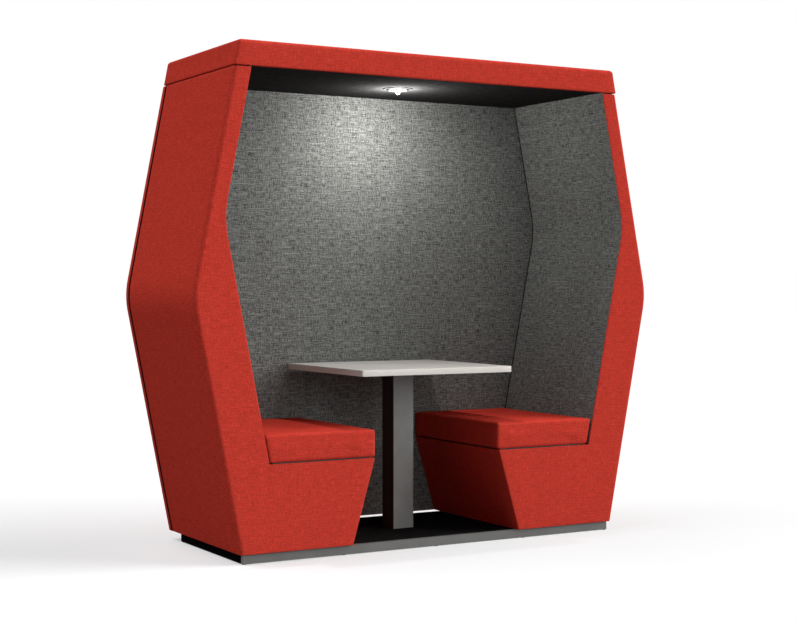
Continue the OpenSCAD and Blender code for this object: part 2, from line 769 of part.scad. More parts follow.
module lamp_head() {
    color(black) from_front() translate([0, mid_y, head_z0]) difference() {
        cylinder(r = head_r, h = head_rim_h, $fn = 96);
        translate([0, 0, -over]) cylinder(r = lens_r - lens_t, h = head_rim_h / 2 + over, $fn = 96);
        for (s = [0, 1]) mirror([s, 0, 0])
            translate([sleeve_r - pin_l - pin_r, 0, head_rim_h / 2]) rotate([0, 90, 0])
                cylinder(r = pin_r + pin_fit, h = head_r, $fn = 32);
    }
}

module lamp_heat_sink() {
    color(steel) from_front() translate([0, mid_y, head_z0 + head_rim_h]) {
        cylinder(r = sink_r, h = sink_h, $fn = 48);
        for (i = [0:fin_count - 1]) rotate([0, 0, 360 * (i + 0.5) / fin_count])
            translate([sink_r - fin_t, -fin_t / 2, 0]) cube([fin_reach - sink_r + fin_t, fin_t, sink_h]);
    }
}

// Lit lens: a flat disc under the head with a small dome in its middle
module lamp_lens() {
    color(white) from_front() translate([0, mid_y, head_z0 - lens_t]) {
        cylinder(r = lens_r, h = lens_t, $fn = 96);
        translate([0, 0, dome_r - dome_h]) sphere(r = dome_r, $fn = 48);
        translate([0, 0, dome_r - dome_h]) cylinder(r = dome_r, h = dome_h - dome_r + lens_t / 2, $fn = 48);
    }
}

// Driver, leads and inlet, on top of the ceiling board inside the roof

module lamp_driver() {
    color(black) from_front()
        box(driver_x, driver_x + driver_l, mid_y - driver_w / 2, mid_y + driver_w / 2,
            roof_frame_z, roof_frame_z + driver_h);
}

module lamp_lead() {
    color(white) from_front() translate([sleeve_r + bolt_fit, mid_y, inlet_z])
        rotate([0, 90, 0]) cylinder(r = lead_r, h = driver_x - sleeve_r - bolt_fit, $fn = 24);
}

// Straight back from the driver to the inlet
module supply_lead() {
    color(black) from_front() translate([inlet_x, mid_y + driver_w / 2, inlet_z]) rotate([-90, 0, 0])
        cylinder(r = lead_r, h = roof_y1 - inlet_body_d - mid_y - driver_w / 2, $fn = 24);
}

// Room for the inlet, between two depths measured in from the roof's back face
module inlet_cut(d0, d1) {
    translate([inlet_x, 0, inlet_z]) {
        if (d0 == 0)
            translate([-inlet_w / 2 - bolt_fit, roof_y1 - inlet_flange_t, -inlet_h / 2 - bolt_fit])
                cube([inlet_w + 2 * bolt_fit, inlet_flange_t + over, inlet_h + 2 * bolt_fit]);
        translate([-inlet_w / 2 + inlet_flange_t, roof_y1 - d1, -inlet_h / 2 + inlet_flange_t])
            cube([inlet_w - 2 * inlet_flange_t, d1 - d0, inlet_h - 2 * inlet_flange_t]);
    }
}

socket_w = inlet_w - 8 * inlet_flange_t;
socket_h = inlet_h - 6 * inlet_flange_t;
socket_d = inlet_body_d - 3 * inlet_flange_t;

module mains_inlet() {
    body_w = inlet_w - 2 * (inlet_flange_t + bolt_fit);
    body_h = inlet_h - 2 * (inlet_flange_t + bolt_fit);
    color(black) from_front() translate([inlet_x, roof_y1, inlet_z]) difference() {
        union() {
            box(-inlet_w / 2, inlet_w / 2, -inlet_flange_t, 0, -inlet_h / 2, inlet_h / 2);
            box(-body_w / 2, body_w / 2, -inlet_body_d, 0, -body_h / 2, body_h / 2);
        }
        translate([-socket_w / 2, -socket_d, -socket_h / 2]) cube([socket_w, socket_d + over, socket_h]);
    }
}

inlet_pin_share = 0.25;

module inlet_pins() {
    pin_w = inlet_flange_t;
    color(steel) from_front() for (k = [-1, 0, 1])
        translate([inlet_x + k * inlet_pin_share * socket_w - pin_w / 2, roof_y1 - socket_d, inlet_z - pin_w])
            cube([pin_w, socket_d - 2 * pin_w, 2 * pin_w]);
}

// Bolts through the back board into each rear rib
// Shares of the wall below the rail at its kink, and of the wall above it
back_low_shares = [0.15, 0.7];
back_high_shares = [0.2, 0.85];
rail_lo = kink_z - rail_w / 2;
rail_hi = kink_z + rail_w / 2;

module back_places() {
    for (z = concat([for (share = back_low_shares) rib_lo + share * (rail_lo - rib_lo)],
            [for (share = back_high_shares) rail_hi + share * (rib_hi - rail_hi)]))
        translate([out_x(z) - shift(skin_t) - 2 * bolt_head_r, back_y + core_t, z]) children();
}

module back_bolts() {
    color(steel) from_front() for (s = [0, 1]) mirror([s, 0, 0]) back_places() rotate([90, 0, 0]) {
        cylinder(r = bolt_head_r, h = bolt_head_h, $fn = 32);
        cylinder(r = bolt_r, h = core_t + seam_gap + rib_t + nut_h, $fn = 32);
    }
}

module back_nuts() {
    color(steel) from_front() for (s = [0, 1]) mirror([s, 0, 0]) back_places()
        translate([0, -core_t - seam_gap - rib_t, 0]) rotate([90, 0, 0]) difference() {
            cylinder(r = 1.75 * bolt_r, h = nut_h, $fn = 6);
            translate([0, 0, -over]) cylinder(r = bolt_r + bolt_fit, h = nut_h + 2 * over, $fn = 32);
        }
}

module back_spacers() {
    color(black) from_front() for (s = [0, 1]) mirror([s, 0, 0]) back_places()
        translate([0, -core_t, 0]) rotate([90, 0, 0]) difference() {
            cylinder(r = bolt_head_r, h = seam_gap, $fn = 32);
            translate([0, 0, -over]) cylinder(r = bolt_r + bolt_fit, h = seam_gap + 2 * over, $fn = 32);
        }
}

// Bolts down through the roof's side rails into each head board
roof_bolt_shares = [0.2, 0.8];

module roof_places() {
    for (share = roof_bolt_shares)
        translate([(roof_rail_x0 + roof_hollow_x1) / 2, share * side_d, 0]) children();
}

module roof_holes(z0, z1) {
    roof_places() translate([0, 0, z0]) cylinder(r = bolt_r + bolt_fit, h = z1 - z0, $fn = 32);
}

module roof_bolts() {
    color(steel) from_front() for (s = [0, 1]) mirror([s, 0, 0]) roof_places()
        bolt(roof_hollow_z, roof_hollow_z - rib_hi + nut_h);
}

module roof_nuts() {
    color(steel) from_front() for (s = [0, 1]) mirror([s, 0, 0]) roof_places() nut(rib_hi);
}

// Bolts down through each foot board into the floor board
base_x_shares = [0.25, 0.8];
base_y_shares = [0.3, 0.75];

module base_places() {
    for (sx = base_x_shares, sy = base_y_shares)
        translate([bench_foot_gap / 2 + sx * (plinth_x - bench_foot_gap / 2),
            plinth_y0 + sy * (plinth_y1 - plinth_y0), 0]) children();
}

module base_holes(z0, z1) {
    for (s = [0, 1]) mirror([s, 0, 0]) base_places() translate([0, 0, z0])
        cylinder(r = bolt_r + bolt_fit, h = z1 - z0, $fn = 32);
}

module base_bolts() {
    color(steel) from_front() for (s = [0, 1]) mirror([s, 0, 0]) base_places()
        bolt(rib_lo + bolt_head_h, rib_lo + bolt_head_h - bearer_top + nut_h);
}

module base_nuts() {
    color(steel) from_front() for (s = [0, 1]) mirror([s, 0, 0]) base_places() nut(bearer_top);
}

plinth_front();
plinth_sides();
plinth_back();
plinth_bearers();
floor_board();
floor_carpet();
floor_glides();
left_shell();
right_shell();
left_lining();
right_lining();
left_ribs();
right_ribs();
left_rails();
right_rails();
left_boards();
right_boards();
left_deck();
right_deck();
left_gap_strip();
right_gap_strip();
left_seat_board();
right_seat_board();
left_cushion();
right_cushion();
back_cover();
back_core();
back_lining();
roof_cover();
roof_frame();
ceiling_panel();
table_top();
table_plate();
table_post();
post_foot();
table_screws();
foot_bolts();
foot_nuts();
lamp_trim();
lamp_clips();
lamp_pins();
lamp_head();
lamp_heat_sink();
lamp_lens();
lamp_driver();
lamp_lead();
supply_lead();
mains_inlet();
inlet_pins();
back_bolts();
back_nuts();
back_spacers();
roof_bolts();
roof_nuts();
base_bolts();
base_nuts();
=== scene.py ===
"""Looks of an open acoustic pod: wool covers, cushions, table, ceiling lamp and a pale studio.

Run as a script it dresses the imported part. Every length is in metres, in the part's own frame:
X to the right, Y to the back, Z up, with the floor under the pod's middle at the origin.
"""

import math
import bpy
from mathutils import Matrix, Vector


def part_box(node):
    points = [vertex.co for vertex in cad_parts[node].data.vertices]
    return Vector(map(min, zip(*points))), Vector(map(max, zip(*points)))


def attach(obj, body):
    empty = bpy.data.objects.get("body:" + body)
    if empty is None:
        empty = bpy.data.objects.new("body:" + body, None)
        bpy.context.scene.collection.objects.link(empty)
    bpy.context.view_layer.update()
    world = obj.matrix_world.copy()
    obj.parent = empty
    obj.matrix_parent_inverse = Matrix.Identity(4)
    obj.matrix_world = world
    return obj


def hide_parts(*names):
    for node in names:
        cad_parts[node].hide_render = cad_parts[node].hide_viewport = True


bl_info = {
    "name": "Acoustic pod",
    "version": (1, 0, 0),
    "blender": (4, 5, 0),
    "location": "View3D > Sidebar > Pod",
    "description": "Wool covers, cushions, table, lamp and studio for an open acoustic pod",
    "category": "Object",
}

import bmesh
import bpy
import numpy as np
from bpy.props import FloatProperty, FloatVectorProperty, PointerProperty
from mathutils import Vector

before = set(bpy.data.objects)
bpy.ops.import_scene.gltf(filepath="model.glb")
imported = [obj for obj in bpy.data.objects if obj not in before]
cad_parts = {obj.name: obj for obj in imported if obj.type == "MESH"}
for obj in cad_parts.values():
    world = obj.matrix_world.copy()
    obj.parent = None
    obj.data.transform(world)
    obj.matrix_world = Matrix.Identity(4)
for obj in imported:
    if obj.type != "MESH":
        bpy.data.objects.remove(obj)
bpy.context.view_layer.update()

# Camera: its place, and in degrees its tilt below level and its turn to the right
CAMERA_AT = (-3.2889, -5.7549, 1.0619)
CAMERA_DOWN, CAMERA_RIGHT = 0.87, 29.9
# Soft lamps: the way to each, and how wide it is in degrees
SUNS = (("key", (0.82, -0.38, 0.42), 45), ("front", (0.05, -0.99, 0.10), 40),
        ("side", (-0.42, 0.15, 0.90), 40), ("rear", (-0.05, 0.93, 0.36), 50))
# Most between two rows up the outer faces and up the linings, and between two columns along the depth
KINK_PITCH, LINING_PITCH, DEPTH_PITCH = 0.022, 0.02, 0.06
# Insets and corner radius of the rings that close flat tops
ROOF_RINGS = (0.012, 0.05, 0.15, 0.25, 0.34)
TABLE_RINGS = (0.004, 0.03, 0.12, 0.24, 0.33)
RING_CORNER = 0.003
# Weights that settle which axes the cloth takes on a slanting face
AXIS_WEIGHTS = (1, 1.02, 1.04)
# Where each piece's cloth starts, in metres, so that the pieces don't all show the same threads
CLOTH_STARTS = {
    "right_shell_cover": 1.13, "right_bench_skin": 1.13, "left_shell_cover": 0.31, "left_bench_skin": 0.31,
    "right_lining_cloth": 4.2, "left_lining_cloth": 3.8, "back_lining_cloth": 0.77, "back_panel_cover": 3.4,
    "roof_cover_cloth": 4.6, "right_seat_cushion": 8.8, "left_seat_cushion": 8.1,
}


def length(name, default, note, low=0.0, high=5.0):
    return FloatProperty(name=name, default=default, min=low, max=high, unit="LENGTH", precision=4,
                         description=note)


def angle(name, default, note):
    return FloatProperty(name=name, default=math.radians(default), subtype="ANGLE", description=note)


def tint(name, default, note):
    return FloatVectorProperty(name=name, default=default, size=3, min=0, max=1, subtype="COLOR",
                               description=note)


def amount(name, default, note, high=100.0):
    return FloatProperty(name=name, default=default, min=0.0, max=high, description=note)


class PodSizes(bpy.types.PropertyGroup):
    """Sizes of the covers, which follow the solids they stand for"""
    lean: angle("Lean", 11.15, "Lean of the side walls from upright")
    kink_half: length("Half width at the kink", 1.0755, "Middle of the pod to the outer kink")
    kink_z: length("Kink height", 1.024, "Height of the outer kink")
    kink_r: length("Kink radius", 0.330, "Radius that softens the outer kink")
    inner_kink_z: length("Inner kink height", 1.323, "Height of the inner kink")
    inner_kink_r: length("Inner kink radius", 0.400, "Radius that softens the inner kink")
    rim_w: length("Wall thickness at the roof", 0.072, "Outer to inner face at the roof")
    plinth_h: length("Plinth height", 0.038, "Floor to the covers' lower edge")
    deck_z: length("Deck height", 0.378, "Top of the bench under its cushion")
    roof_z: length("Roof height", 1.901, "Underside of the roof")
    top: length("Height", 2.000, "Height over all")
    roof_gap: length("Roof gap", 0.004, "Shadow gap between wall and roof")
    bench_half: length("Half bench gap", 0.296, "Middle to the bench's front at the deck")
    foot_half: length("Half foot gap", 0.395, "Middle to the bench's front at the plinth")
    front_y: length("Front", -0.364, "Front plane of the side walls", -1)
    side_d: length("Wall depth", 0.690, "Depth of the side walls")
    seam_gap: length("Seam gap", 0.002, "Gap between side wall and back panel")
    back_t: length("Back thickness", 0.033, "Thickness of the back panel")
    skin_t: length("Skin", 0.016, "Thickness of the side walls' padded skin")
    bench_skin_t: length("Bench skin", 0.012, "Thickness of the bench's padded skin")
    lining_t: length("Lining", 0.010, "Thickness of the side linings")
    back_lining_t: length("Back lining", 0.006, "Thickness of the back lining")
    lining_fit: length("Lining fit", 0.0005, "Clearance round the back lining")
    roll_r: length("Lining roll", 0.0055, "Radius of the side linings' rear edges")
    lip: length("Lip", 0.003, "Cover that shows in front of the lining")
    edge_r: length("Front edge", 0.017, "Radius of the padded front edges")
    inner_r: length("Inner edge", 0.0028, "Radius of the edges inside the pod")
    back_proud: length("Back proud", 0.003, "Back panel's edge past the side walls' outer faces")
    back_r: length("Back edge", 0.005, "Radius of the back panel's rear edges")
    seam_r: length("Seam edge", 0.0035, "Radius of the edges at a seam")
    roof_r: length("Roof edge", 0.016, "Radius of the roof's upper edges")
    roof_corner_r: length("Roof corner", 0.009, "Radius of the roof's upright corners")
    roof_skin_t: length("Roof skin", 0.014, "Thickness of the roof's padded skin")
    cushion_setback: length("Cushion setback", 0.002, "Bench front to the cushion")
    cushion_gap: length("Cushion gap", 0.002, "Cushion to the linings")
    cushion_base: length("Cushion underside", 0.3833, "Height of the cushion's underside")
    cushion_t: length("Cushion thickness", 0.108, "Thickness at the cushion's edge")
    cushion_r: length("Cushion edge", 0.006, "Radius of the cushion's long edges")
    cushion_corner_r: length("Cushion corner", 0.0065, "Radius of the cushion's upright corners")
    cushion_proud: length("Cushion overhang", 0.009, "Cloth past the foam at the bench's front")
    cushion_crown: length("Crown", 0.004, "Rise of the cushion's middle")
    voxel: length("Voxel", 0.0065, "Grid of the cushion before it swells")
    swell: length("Swell", 0.0025, "Most that the cushion swells")
    table_edge_r: length("Table edge", 0.0012, "Radius of the table top's edges")
    table_corner_r: length("Table corner", 0.004, "Radius of the table top's corners")
    post_r: length("Post edge", 0.003, "Radius of the post's upright edges")


class PodLook(bpy.types.PropertyGroup):
    """Colours and cloth of the finishes"""
    red: tint("Red wool", (0.512, 0.0435, 0.0285), "Mean colour of the red wool")
    grey: tint("Melange", (0.122, 0.123, 0.116), "Mean colour of the melange wool")
    red_pitch: length("Red thread", 0.0019, "Width of a red thread", 0.0003, 0.01)
    grey_pitch: length("Melange thread", 0.0017, "Width of a melange thread", 0.0003, 0.01)
    laminate: tint("Laminate", (0.440, 0.415, 0.386), "Table top")
    coat: tint("Powder coat", (0.198, 0.200, 0.192), "Post and plates")


class PodStudio(bpy.types.PropertyGroup):
    """Camera, lamps and floor"""
    sky: amount("Sky", 0.09, "Light of the world on the object")
    key: amount("Key", 1.27, "Soft light from the right, as the level of a white face turned to it", 5)
    front: amount("Front", 0.32, "Soft low light from the front, as such a level", 5)
    side: amount("Side", 0.72, "Soft light from above and the left, as such a level", 5)
    rear: amount("Rear", 0.40, "Soft low light from behind, as such a level", 5)
    lamp: amount("Lamp", 16.2, "Ceiling lamp, in watts", 200)
    beam: amount("Ceiling beam", 3.5, "Power that the ceiling lamp casts straight down", 1000)
    drop: length("Lamp drop", 0.036, "Ceiling lamp's light below its lens")
    floor: tint("Floor", (0.735, 0.745, 0.755), "Colour of the floor as the camera sees it")
    bounce: amount("Floor bounce", 0.20, "Share of its light that the floor gives back to the object", 1)
    fade_x: length("Floor fade", 1.3, "Middle to where the floor's mix with white stops changing")
    fade_left: amount("White at the left", 0.25, "Share of plain white in the floor at the left", 1)
    fade_right: amount("White at the right", 0.75, "Share of plain white in the floor at the right", 1)
    lens: FloatProperty(name="Lens", default=70.04, min=10, max=300, subtype="DISTANCE_CAMERA",
                        description="Focal length on a 36 mm film")


def sizes():
    return bpy.context.scene.pod_sizes


def look():
    return bpy.context.scene.pod_look


# Shape of the walls

def leaning(z, apex, apex_z, r):
    """X of a face that leans back both ways from its apex, with an arc of radius r at the kink.
    Away from the arc it is apex - tan(lean) |z - apex_z|; on it, the circle that both lines touch."""
    lean = sizes().lean
    dz = np.asarray(z, float) - apex_z
    line = apex - math.tan(lean) * np.abs(dz)
    arc = apex - r / math.cos(lean) + np.sqrt(np.maximum(r * r - dz * dz, 0))
    return np.where(np.abs(dz) < r * math.sin(lean), arc, line)


def out_x(z):
    """X of the walls' outer face."""
    s = sizes()
    return leaning(z, s.kink_half, s.kink_z, s.kink_r)


def in_x(z, t=0.0):
    """X of the walls' inner face, moved out by t."""
    s = sizes()
    rim = s.kink_half - math.tan(s.lean) * (s.roof_z - s.kink_z) - s.rim_w
    apex = rim + math.tan(s.lean) * (s.roof_z - s.inner_kink_z)
    return leaning(z, apex + t / math.cos(s.lean), s.inner_kink_z, s.inner_kink_r + t)


def bench_x(z, t=0.0):
    """X of the bench's slanting face, moved out by t: a straight line from plinth to deck."""
    s = sizes()
    rise = (s.foot_half - s.bench_half) / (s.deck_z - s.plinth_h)
    return s.bench_half + rise * (s.deck_z - np.asarray(z, float)) + t * math.hypot(1, rise)


def steps(a, b, pitch=0.045):
    """Even places from a to b, at most pitch apart."""
    return np.linspace(a, b, max(2, int(math.ceil(abs(b - a) / pitch)) + 1))


def rounding(r, n=5):
    """A quarter circle as (inset, rise) pairs: inset falls from r to 0 while the rise grows from 0 to r."""
    a = np.linspace(0, math.pi / 2, n + 1)
    return r * (1 - np.sin(a)), r * (1 - np.cos(a))


def joined(*parts):
    return np.concatenate([np.atleast_1d(np.asarray(p, float)) for p in parts])


def drawn_in(inset, count):
    """How far each of count rows is drawn in, where both ends are rounded by these insets."""
    return joined(inset, np.zeros(count - 2 * len(inset)), inset[::-1])


# Meshes

def new_object(name, data):
    item = bpy.data.objects.new(name, data)
    bpy.context.scene.collection.objects.link(item)
    return item


def mesh_piece(name, points, faces, smooth_angle=40):
    """A closed mesh of these points and faces, doubles merged, faces outwards, smooth up to an angle."""
    mesh = bpy.data.meshes.new(name)
    mesh.from_pydata(np.asarray(points).reshape(-1, 3).tolist(), [], faces)
    tidy(mesh)
    shade(mesh, smooth_angle)
    return new_object(name, mesh)


def tidy(mesh, gap=2e-6):
    """Merges doubles, drops faces with no area and turns all faces outwards."""
    bm = bmesh.new()
    bm.from_mesh(mesh)
    bmesh.ops.remove_doubles(bm, verts=bm.verts, dist=gap)
    bmesh.ops.dissolve_degenerate(bm, edges=bm.edges, dist=gap)
    bmesh.ops.recalc_face_normals(bm, faces=bm.faces)
    bm.to_mesh(mesh)
    bm.free()


def shade(mesh, smooth_angle):
    mesh.shade_smooth()
    mesh.set_sharp_from_angle(angle=math.radians(smooth_angle))
    mesh.update()


def sections(name, z, x, y, smooth_angle=40):
    """A closed form from level sections: x and y are arrays [row, column] and z holds each row's height.
    Quads join each section to the next, and the first and last are closed by one face each."""
    x, y = np.broadcast_arrays(x, y)
    rows, cols = x.shape
    points = np.stack([x, y, np.broadcast_to(np.asarray(z)[:, None], x.shape)], -1)
    j, i = (a.ravel() for a in np.mgrid[0:rows - 1, 0:cols])
    k = (i + 1) % cols
    quads = np.stack([j * cols + i, j * cols + k, (j + 1) * cols + k, (j + 1) * cols + i], 1)
    ends = [list(range(cols))[::-1], list(range((rows - 1) * cols, rows * cols))]
    return mesh_piece(name, points, quads.tolist() + ends, smooth_angle)


def read(items, name, width=3, kind=np.float32):
    """One property of a mesh's elements, as an array [element, part], or [element] at a width of 1."""
    values = np.empty(len(items) * width, kind)
    items.foreach_get(name, values)
    return values.reshape(-1, width) if width > 1 else values


def put_points(mesh, points):
    mesh.vertices.foreach_set("co", np.asarray(points, np.float32).ravel())


def level_box(node):
    """Level middle, half width, half depth, bottom and top of a solid's box."""
    lo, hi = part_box(node)
    return (0.5 * (lo.x + hi.x), 0.5 * (lo.y + hi.y)), 0.5 * (hi.x - lo.x), 0.5 * (hi.y - lo.y), lo.z, hi.z


def cloth_map(piece):
    """A UV map in metres of cloth: each face takes the two axes that it faces least, so that threads
    run level and upright."""
    mesh = piece.data
    co = read(mesh.vertices, "co")[read(mesh.loops, "vertex_index", 1, np.int32)]
    total = read(mesh.polygons, "loop_total", 1, np.int32)
    facing = np.repeat(np.abs(read(mesh.polygons, "normal")) * AXIS_WEIGHTS, total, axis=0).argmax(1)[:, None]
    uv = np.where(facing == 0, co[:, [1, 2]], np.where(facing == 1, co[:, [0, 2]], co[:, [0, 1]]))
    start = CLOTH_STARTS[piece.name]
    layer = mesh.uv_layers.get("cloth") or mesh.uv_layers.new(name="cloth")
    layer.data.foreach_set("uv", (uv + [start, 1.7 * start]).astype(np.float32).ravel())
    return piece


def mirror_piece(piece, name):
    """The same piece on the other side of X = 0: x becomes -x and the faces turn round."""
    other = new_object(name, piece.data.copy())
    put_points(other.data, read(other.data.vertices, "co") * [-1, 1, 1])
    other.data.flip_normals()
    other.data.update()
    return other


def dress(piece, body, finish, *nodes, slot=None):
    """Gives a piece its material and its body, and hides the solids that it stands for."""
    piece.data.materials.clear()
    piece.data.materials.append(material(finish))
    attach(piece, body)
    if nodes:
        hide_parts(*nodes)
    return piece


# Shader groups and materials

def net(tree):
    """A short way to add nodes: add(kind, {socket: value or output}, property=value)."""
    def add(kind, into=None, **facts):
        node = tree.nodes.new("ShaderNode" + kind)
        for key, value in facts.items():
            setattr(node, key, value)
        for key, value in (into or {}).items():
            if isinstance(value, bpy.types.NodeSocket):
                tree.links.new(value, node.inputs[key])
            else:
                node.inputs[key].default_value = value
        return node
    return add


def blank(owner):
    """The node adder of a material or world whose nodes are cleared."""
    owner.use_nodes = True
    owner.node_tree.nodes.clear()
    return net(owner.node_tree)


def maths(add, operation, a, b=0.0, clamp=False):
    return add("Math", {0: a, 1: b}, operation=operation, use_clamp=clamp).outputs[0]


def blend_colours(add, factor, a, b):
    return add("Mix", {0: factor, 6: a, 7: b}, data_type="RGBA").outputs[2]


def seen_rays(add):
    """1 on rays that bring what is behind the object to the camera, through a mirror or glass too."""
    path = add("LightPath").outputs
    return maths(add, "MAXIMUM", path["Is Camera Ray"],
                 maths(add, "MAXIMUM", path["Is Glossy Ray"], path["Is Transmission Ray"]))


def group(name, amounts, colours, build):
    """A shader group, made once, with a vector, amounts and colours as its inputs, and a colour and a
    height as its outputs: build(add, inputs, put) lays its nodes."""
    found = bpy.data.node_groups.get(name)
    if found:
        return found
    tree = bpy.data.node_groups.new(name, "ShaderNodeTree")

    def socket(label, kind, side="INPUT"):
        return tree.interface.new_socket(label, in_out=side, socket_type="NodeSocket" + kind)

    socket("Vector", "Vector")
    for label, value in amounts.items():
        socket(label, "Float").default_value = value
    for label in colours:
        socket(label, "Color")
    socket("Color", "Color", "OUTPUT")
    socket("Height", "Float", "OUTPUT")
    source, sink = tree.nodes.new("NodeGroupInput"), tree.nodes.new("NodeGroupOutput")
    build(net(tree), source.outputs, lambda label, value: tree.links.new(value, sink.inputs[label]))
    return tree


def noise(add, vector, scale, detail=2.0, roughness=0.5):
    return add("TexNoise", {"Vector": vector, "Scale": scale, "Detail": detail,
                            "Roughness": roughness}).outputs[0]


def stretched(add, vector, x, y, z):
    return add("VectorMath", {0: vector, 1: (x, y, z)}, operation="MULTIPLY").outputs[0]


def levels(add, value, low, high, to_low=0.0, to_high=1.0):
    return add("MapRange", {"Value": value, "From Min": low, "From Max": high, "To Min": to_low,
                            "To Max": to_high}).outputs[0]


def added(add, total, value, share):
    """A total, with that share of a value added."""
    return maths(add, "ADD", total, maths(add, "MULTIPLY", value, share))


def weighted(add, a, share_a, b, share_b):
    return added(add, maths(add, "MULTIPLY", a, share_a), b, share_b)


def woven_group():
    """Plain weave of slubby wool. Threads are sine ridges one pitch wide, over and under by turns;
    each thread's tone comes from noise drawn out along it, longer runs and a soft mottle lie over
    all, and a few long threads are paler than the rest."""
    def build(add, inp, put):
        vector = inp["Vector"]

        def ridges(axis):
            threads_along = maths(add, "DIVIDE", axis, inp["Thread"])
            return maths(add, "SINE", maths(add, "MULTIPLY", threads_along, math.pi))

        def threads(x, y, detail=1.0):
            return noise(add, stretched(add, vector, x, y, 1), 1.0, detail)

        def centred(value):
            return maths(add, "SUBTRACT", value, 0.5)

        parts = add("SeparateXYZ", {0: vector}).outputs
        over = maths(add, "MULTIPLY_ADD", maths(add, "MULTIPLY", ridges(parts[0]), ridges(parts[1])), 0.5)
        over.node.inputs[2].default_value = 0.5
        weft, warp = threads(26, 290, 2.0), threads(290, 40, 2.0)
        streaks = add("Mix", {0: over, 2: weft, 3: warp}).outputs[0]
        streaks = weighted(add, streaks, 0.40, maths(add, "ADD", weft, warp), 0.20)
        streaks = added(add, streaks, maths(add, "ADD", threads(3, 210), threads(210, 3)), 0.10)
        yarn, mottle = noise(add, vector, 230.0, 1.0), noise(add, vector, 26.0, 3.0)
        stray = maths(add, "MAXIMUM", levels(add, threads(6, 260), 0.65, 0.76),
                      levels(add, threads(300, 9), 0.74, 0.84, 0, 0.5))
        tone = weighted(add, centred(streaks), inp["Slub"], centred(yarn), inp["Fleck"])
        tone = added(add, tone, centred(mottle), inp["Mottle"])
        tone = added(add, tone, stray, inp["Stray"])
        # The over-and-under ridges lighten the tone where the weave stands high and darken it where it lies
        # low: painted shade of the weave's relief, besides its bump
        tone = maths(add, "ADD", added(add, tone, centred(over), inp["Ridge shade"]), 0.5)
        dark = blend_colours(add, maths(add, "MULTIPLY", tone, 2.0, True), inp["Dark"], inp["Mean"])
        light = maths(add, "SUBTRACT", maths(add, "MULTIPLY", tone, 2.0), 1.0, True)
        put("Color", blend_colours(add, light, dark, inp["Light"]))
        put("Height", weighted(add, over, 0.7, streaks, 0.5))
    return group("Woven wool", {"Thread": 0.0018, "Slub": 1.0, "Fleck": 0.5, "Mottle": 0.1, "Stray": 0.2,
                                "Ridge shade": 0.2}, ("Dark", "Mean", "Light"), build)


def grain_group():
    """Fine grain for coats, felts and moulded faces: two noises, one coarse and one fine, tint a colour."""
    def build(add, inp, put):
        fine = noise(add, inp["Vector"], inp["Fine"], 3.0)
        coarse = noise(add, inp["Vector"], inp["Coarse"], 3.0)
        tone = levels(add, weighted(add, fine, 0.6, coarse, 0.4), 0.34, 0.66)
        put("Color", blend_colours(add, tone, inp["Dark"], inp["Light"]))
        put("Height", fine)
    return group("Fine grain", {"Fine": 900.0, "Coarse": 12.0}, ("Dark", "Light"), build)


def timber_group():
    """Plywood: grain drawn out along X, and thin plies that follow Z."""
    def build(add, inp, put):
        figure = noise(add, stretched(add, inp["Vector"], 4, 60, 60), 1.0, 5.0)
        pores = noise(add, stretched(add, inp["Vector"], 30, 700, 700), 1.0, 2.0)
        tone = levels(add, weighted(add, figure, 0.75, pores, 0.25), 0.35, 0.65)
        put("Color", blend_colours(add, tone, inp["Dark"], inp["Light"]))
        put("Height", pores)
    return group("Timber grain", {}, ("Dark", "Light"), build)


def speckle_group():
    """Pale laminate: small light and dark specks over a clouded ground."""
    def build(add, inp, put):
        cloud = noise(add, inp["Vector"], 9.0, 4.0, 0.6)
        fibre = noise(add, stretched(add, inp["Vector"], 130, 420, 420), 1.0, 2.0)
        speck = noise(add, inp["Vector"], 520.0, 1.0)
        tone = levels(add, weighted(add, cloud, 0.35, fibre, 0.65), 0.36, 0.64)
        base = blend_colours(add, tone, inp["Dark"], inp["Light"])
        put("Color", blend_colours(add, levels(add, speck, 0.62, 0.70, 0, 0.6), base, inp["Speck"]))
        put("Height", speck)
    return group("Speckled laminate", {}, ("Dark", "Light", "Speck"), build)


def scaled(colour, factor):
    return tuple(min(1.0, c * factor) for c in colour) + (1.0,)


def principled(name, roughness, metallic=0.0, **sockets):
    """A new material with its shader: returns its node adder, its shader and the material."""
    mat = bpy.data.materials.new("finish_" + name)
    add = blank(mat)
    shader = add("BsdfPrincipled", {"Roughness": roughness, "Metallic": metallic,
                                    **{k.replace("_", " "): v for k, v in sockets.items()}})
    add("OutputMaterial", {0: shader.outputs[0]})
    return add, shader, mat


def second_finish(piece, finish, test):
    """Gives another finish to the faces whose middles and normals pass the test."""
    faces = piece.data.polygons
    piece.data.materials.append(material(finish))
    chosen = test(read(faces, "center"), read(faces, "normal"))
    faces.foreach_set("material_index", chosen.astype(np.int32))


def put_group(add, shader, tree, values, vector, bump=0.0, distance=0.0005, into="Base Color"):
    """Places a group in a material and joins its colour, and its height through a bump."""
    node = add("Group", node_tree=tree)
    for key, value in values.items():
        node.inputs[key].default_value = value
    shader.id_data.links.new(vector, node.inputs["Vector"])
    shader.id_data.links.new(node.outputs["Color"], shader.inputs[into])
    if bump:
        relief = add("Bump", {"Strength": bump, "Distance": distance, "Height": node.outputs["Height"]})
        shader.id_data.links.new(relief.outputs[0], shader.inputs["Normal"])


def wool(name, mean, pitch, slub, fleck, mottle, stray, contrast, relief=0.25):
    add, shader, mat = principled(name, 0.92, Sheen_Weight=0.04, Sheen_Roughness=0.5,
                                  Sheen_Tint=scaled(mean, 1.6), Specular_IOR_Level=0.0)
    # Ridge shade sets how much painted shade the weave's ridges put into the colour
    values = {"Thread": pitch, "Slub": slub, "Fleck": fleck, "Mottle": mottle, "Stray": stray,
              "Ridge shade": relief, "Dark": scaled(mean, 1 - contrast), "Mean": scaled(mean, 1),
              "Light": scaled(mean, 1 + 1.25 * contrast)}
    put_group(add, shader, woven_group(), values, add("UVMap", uv_map="cloth").outputs[0], 0.55, 0.0007)
    return mat


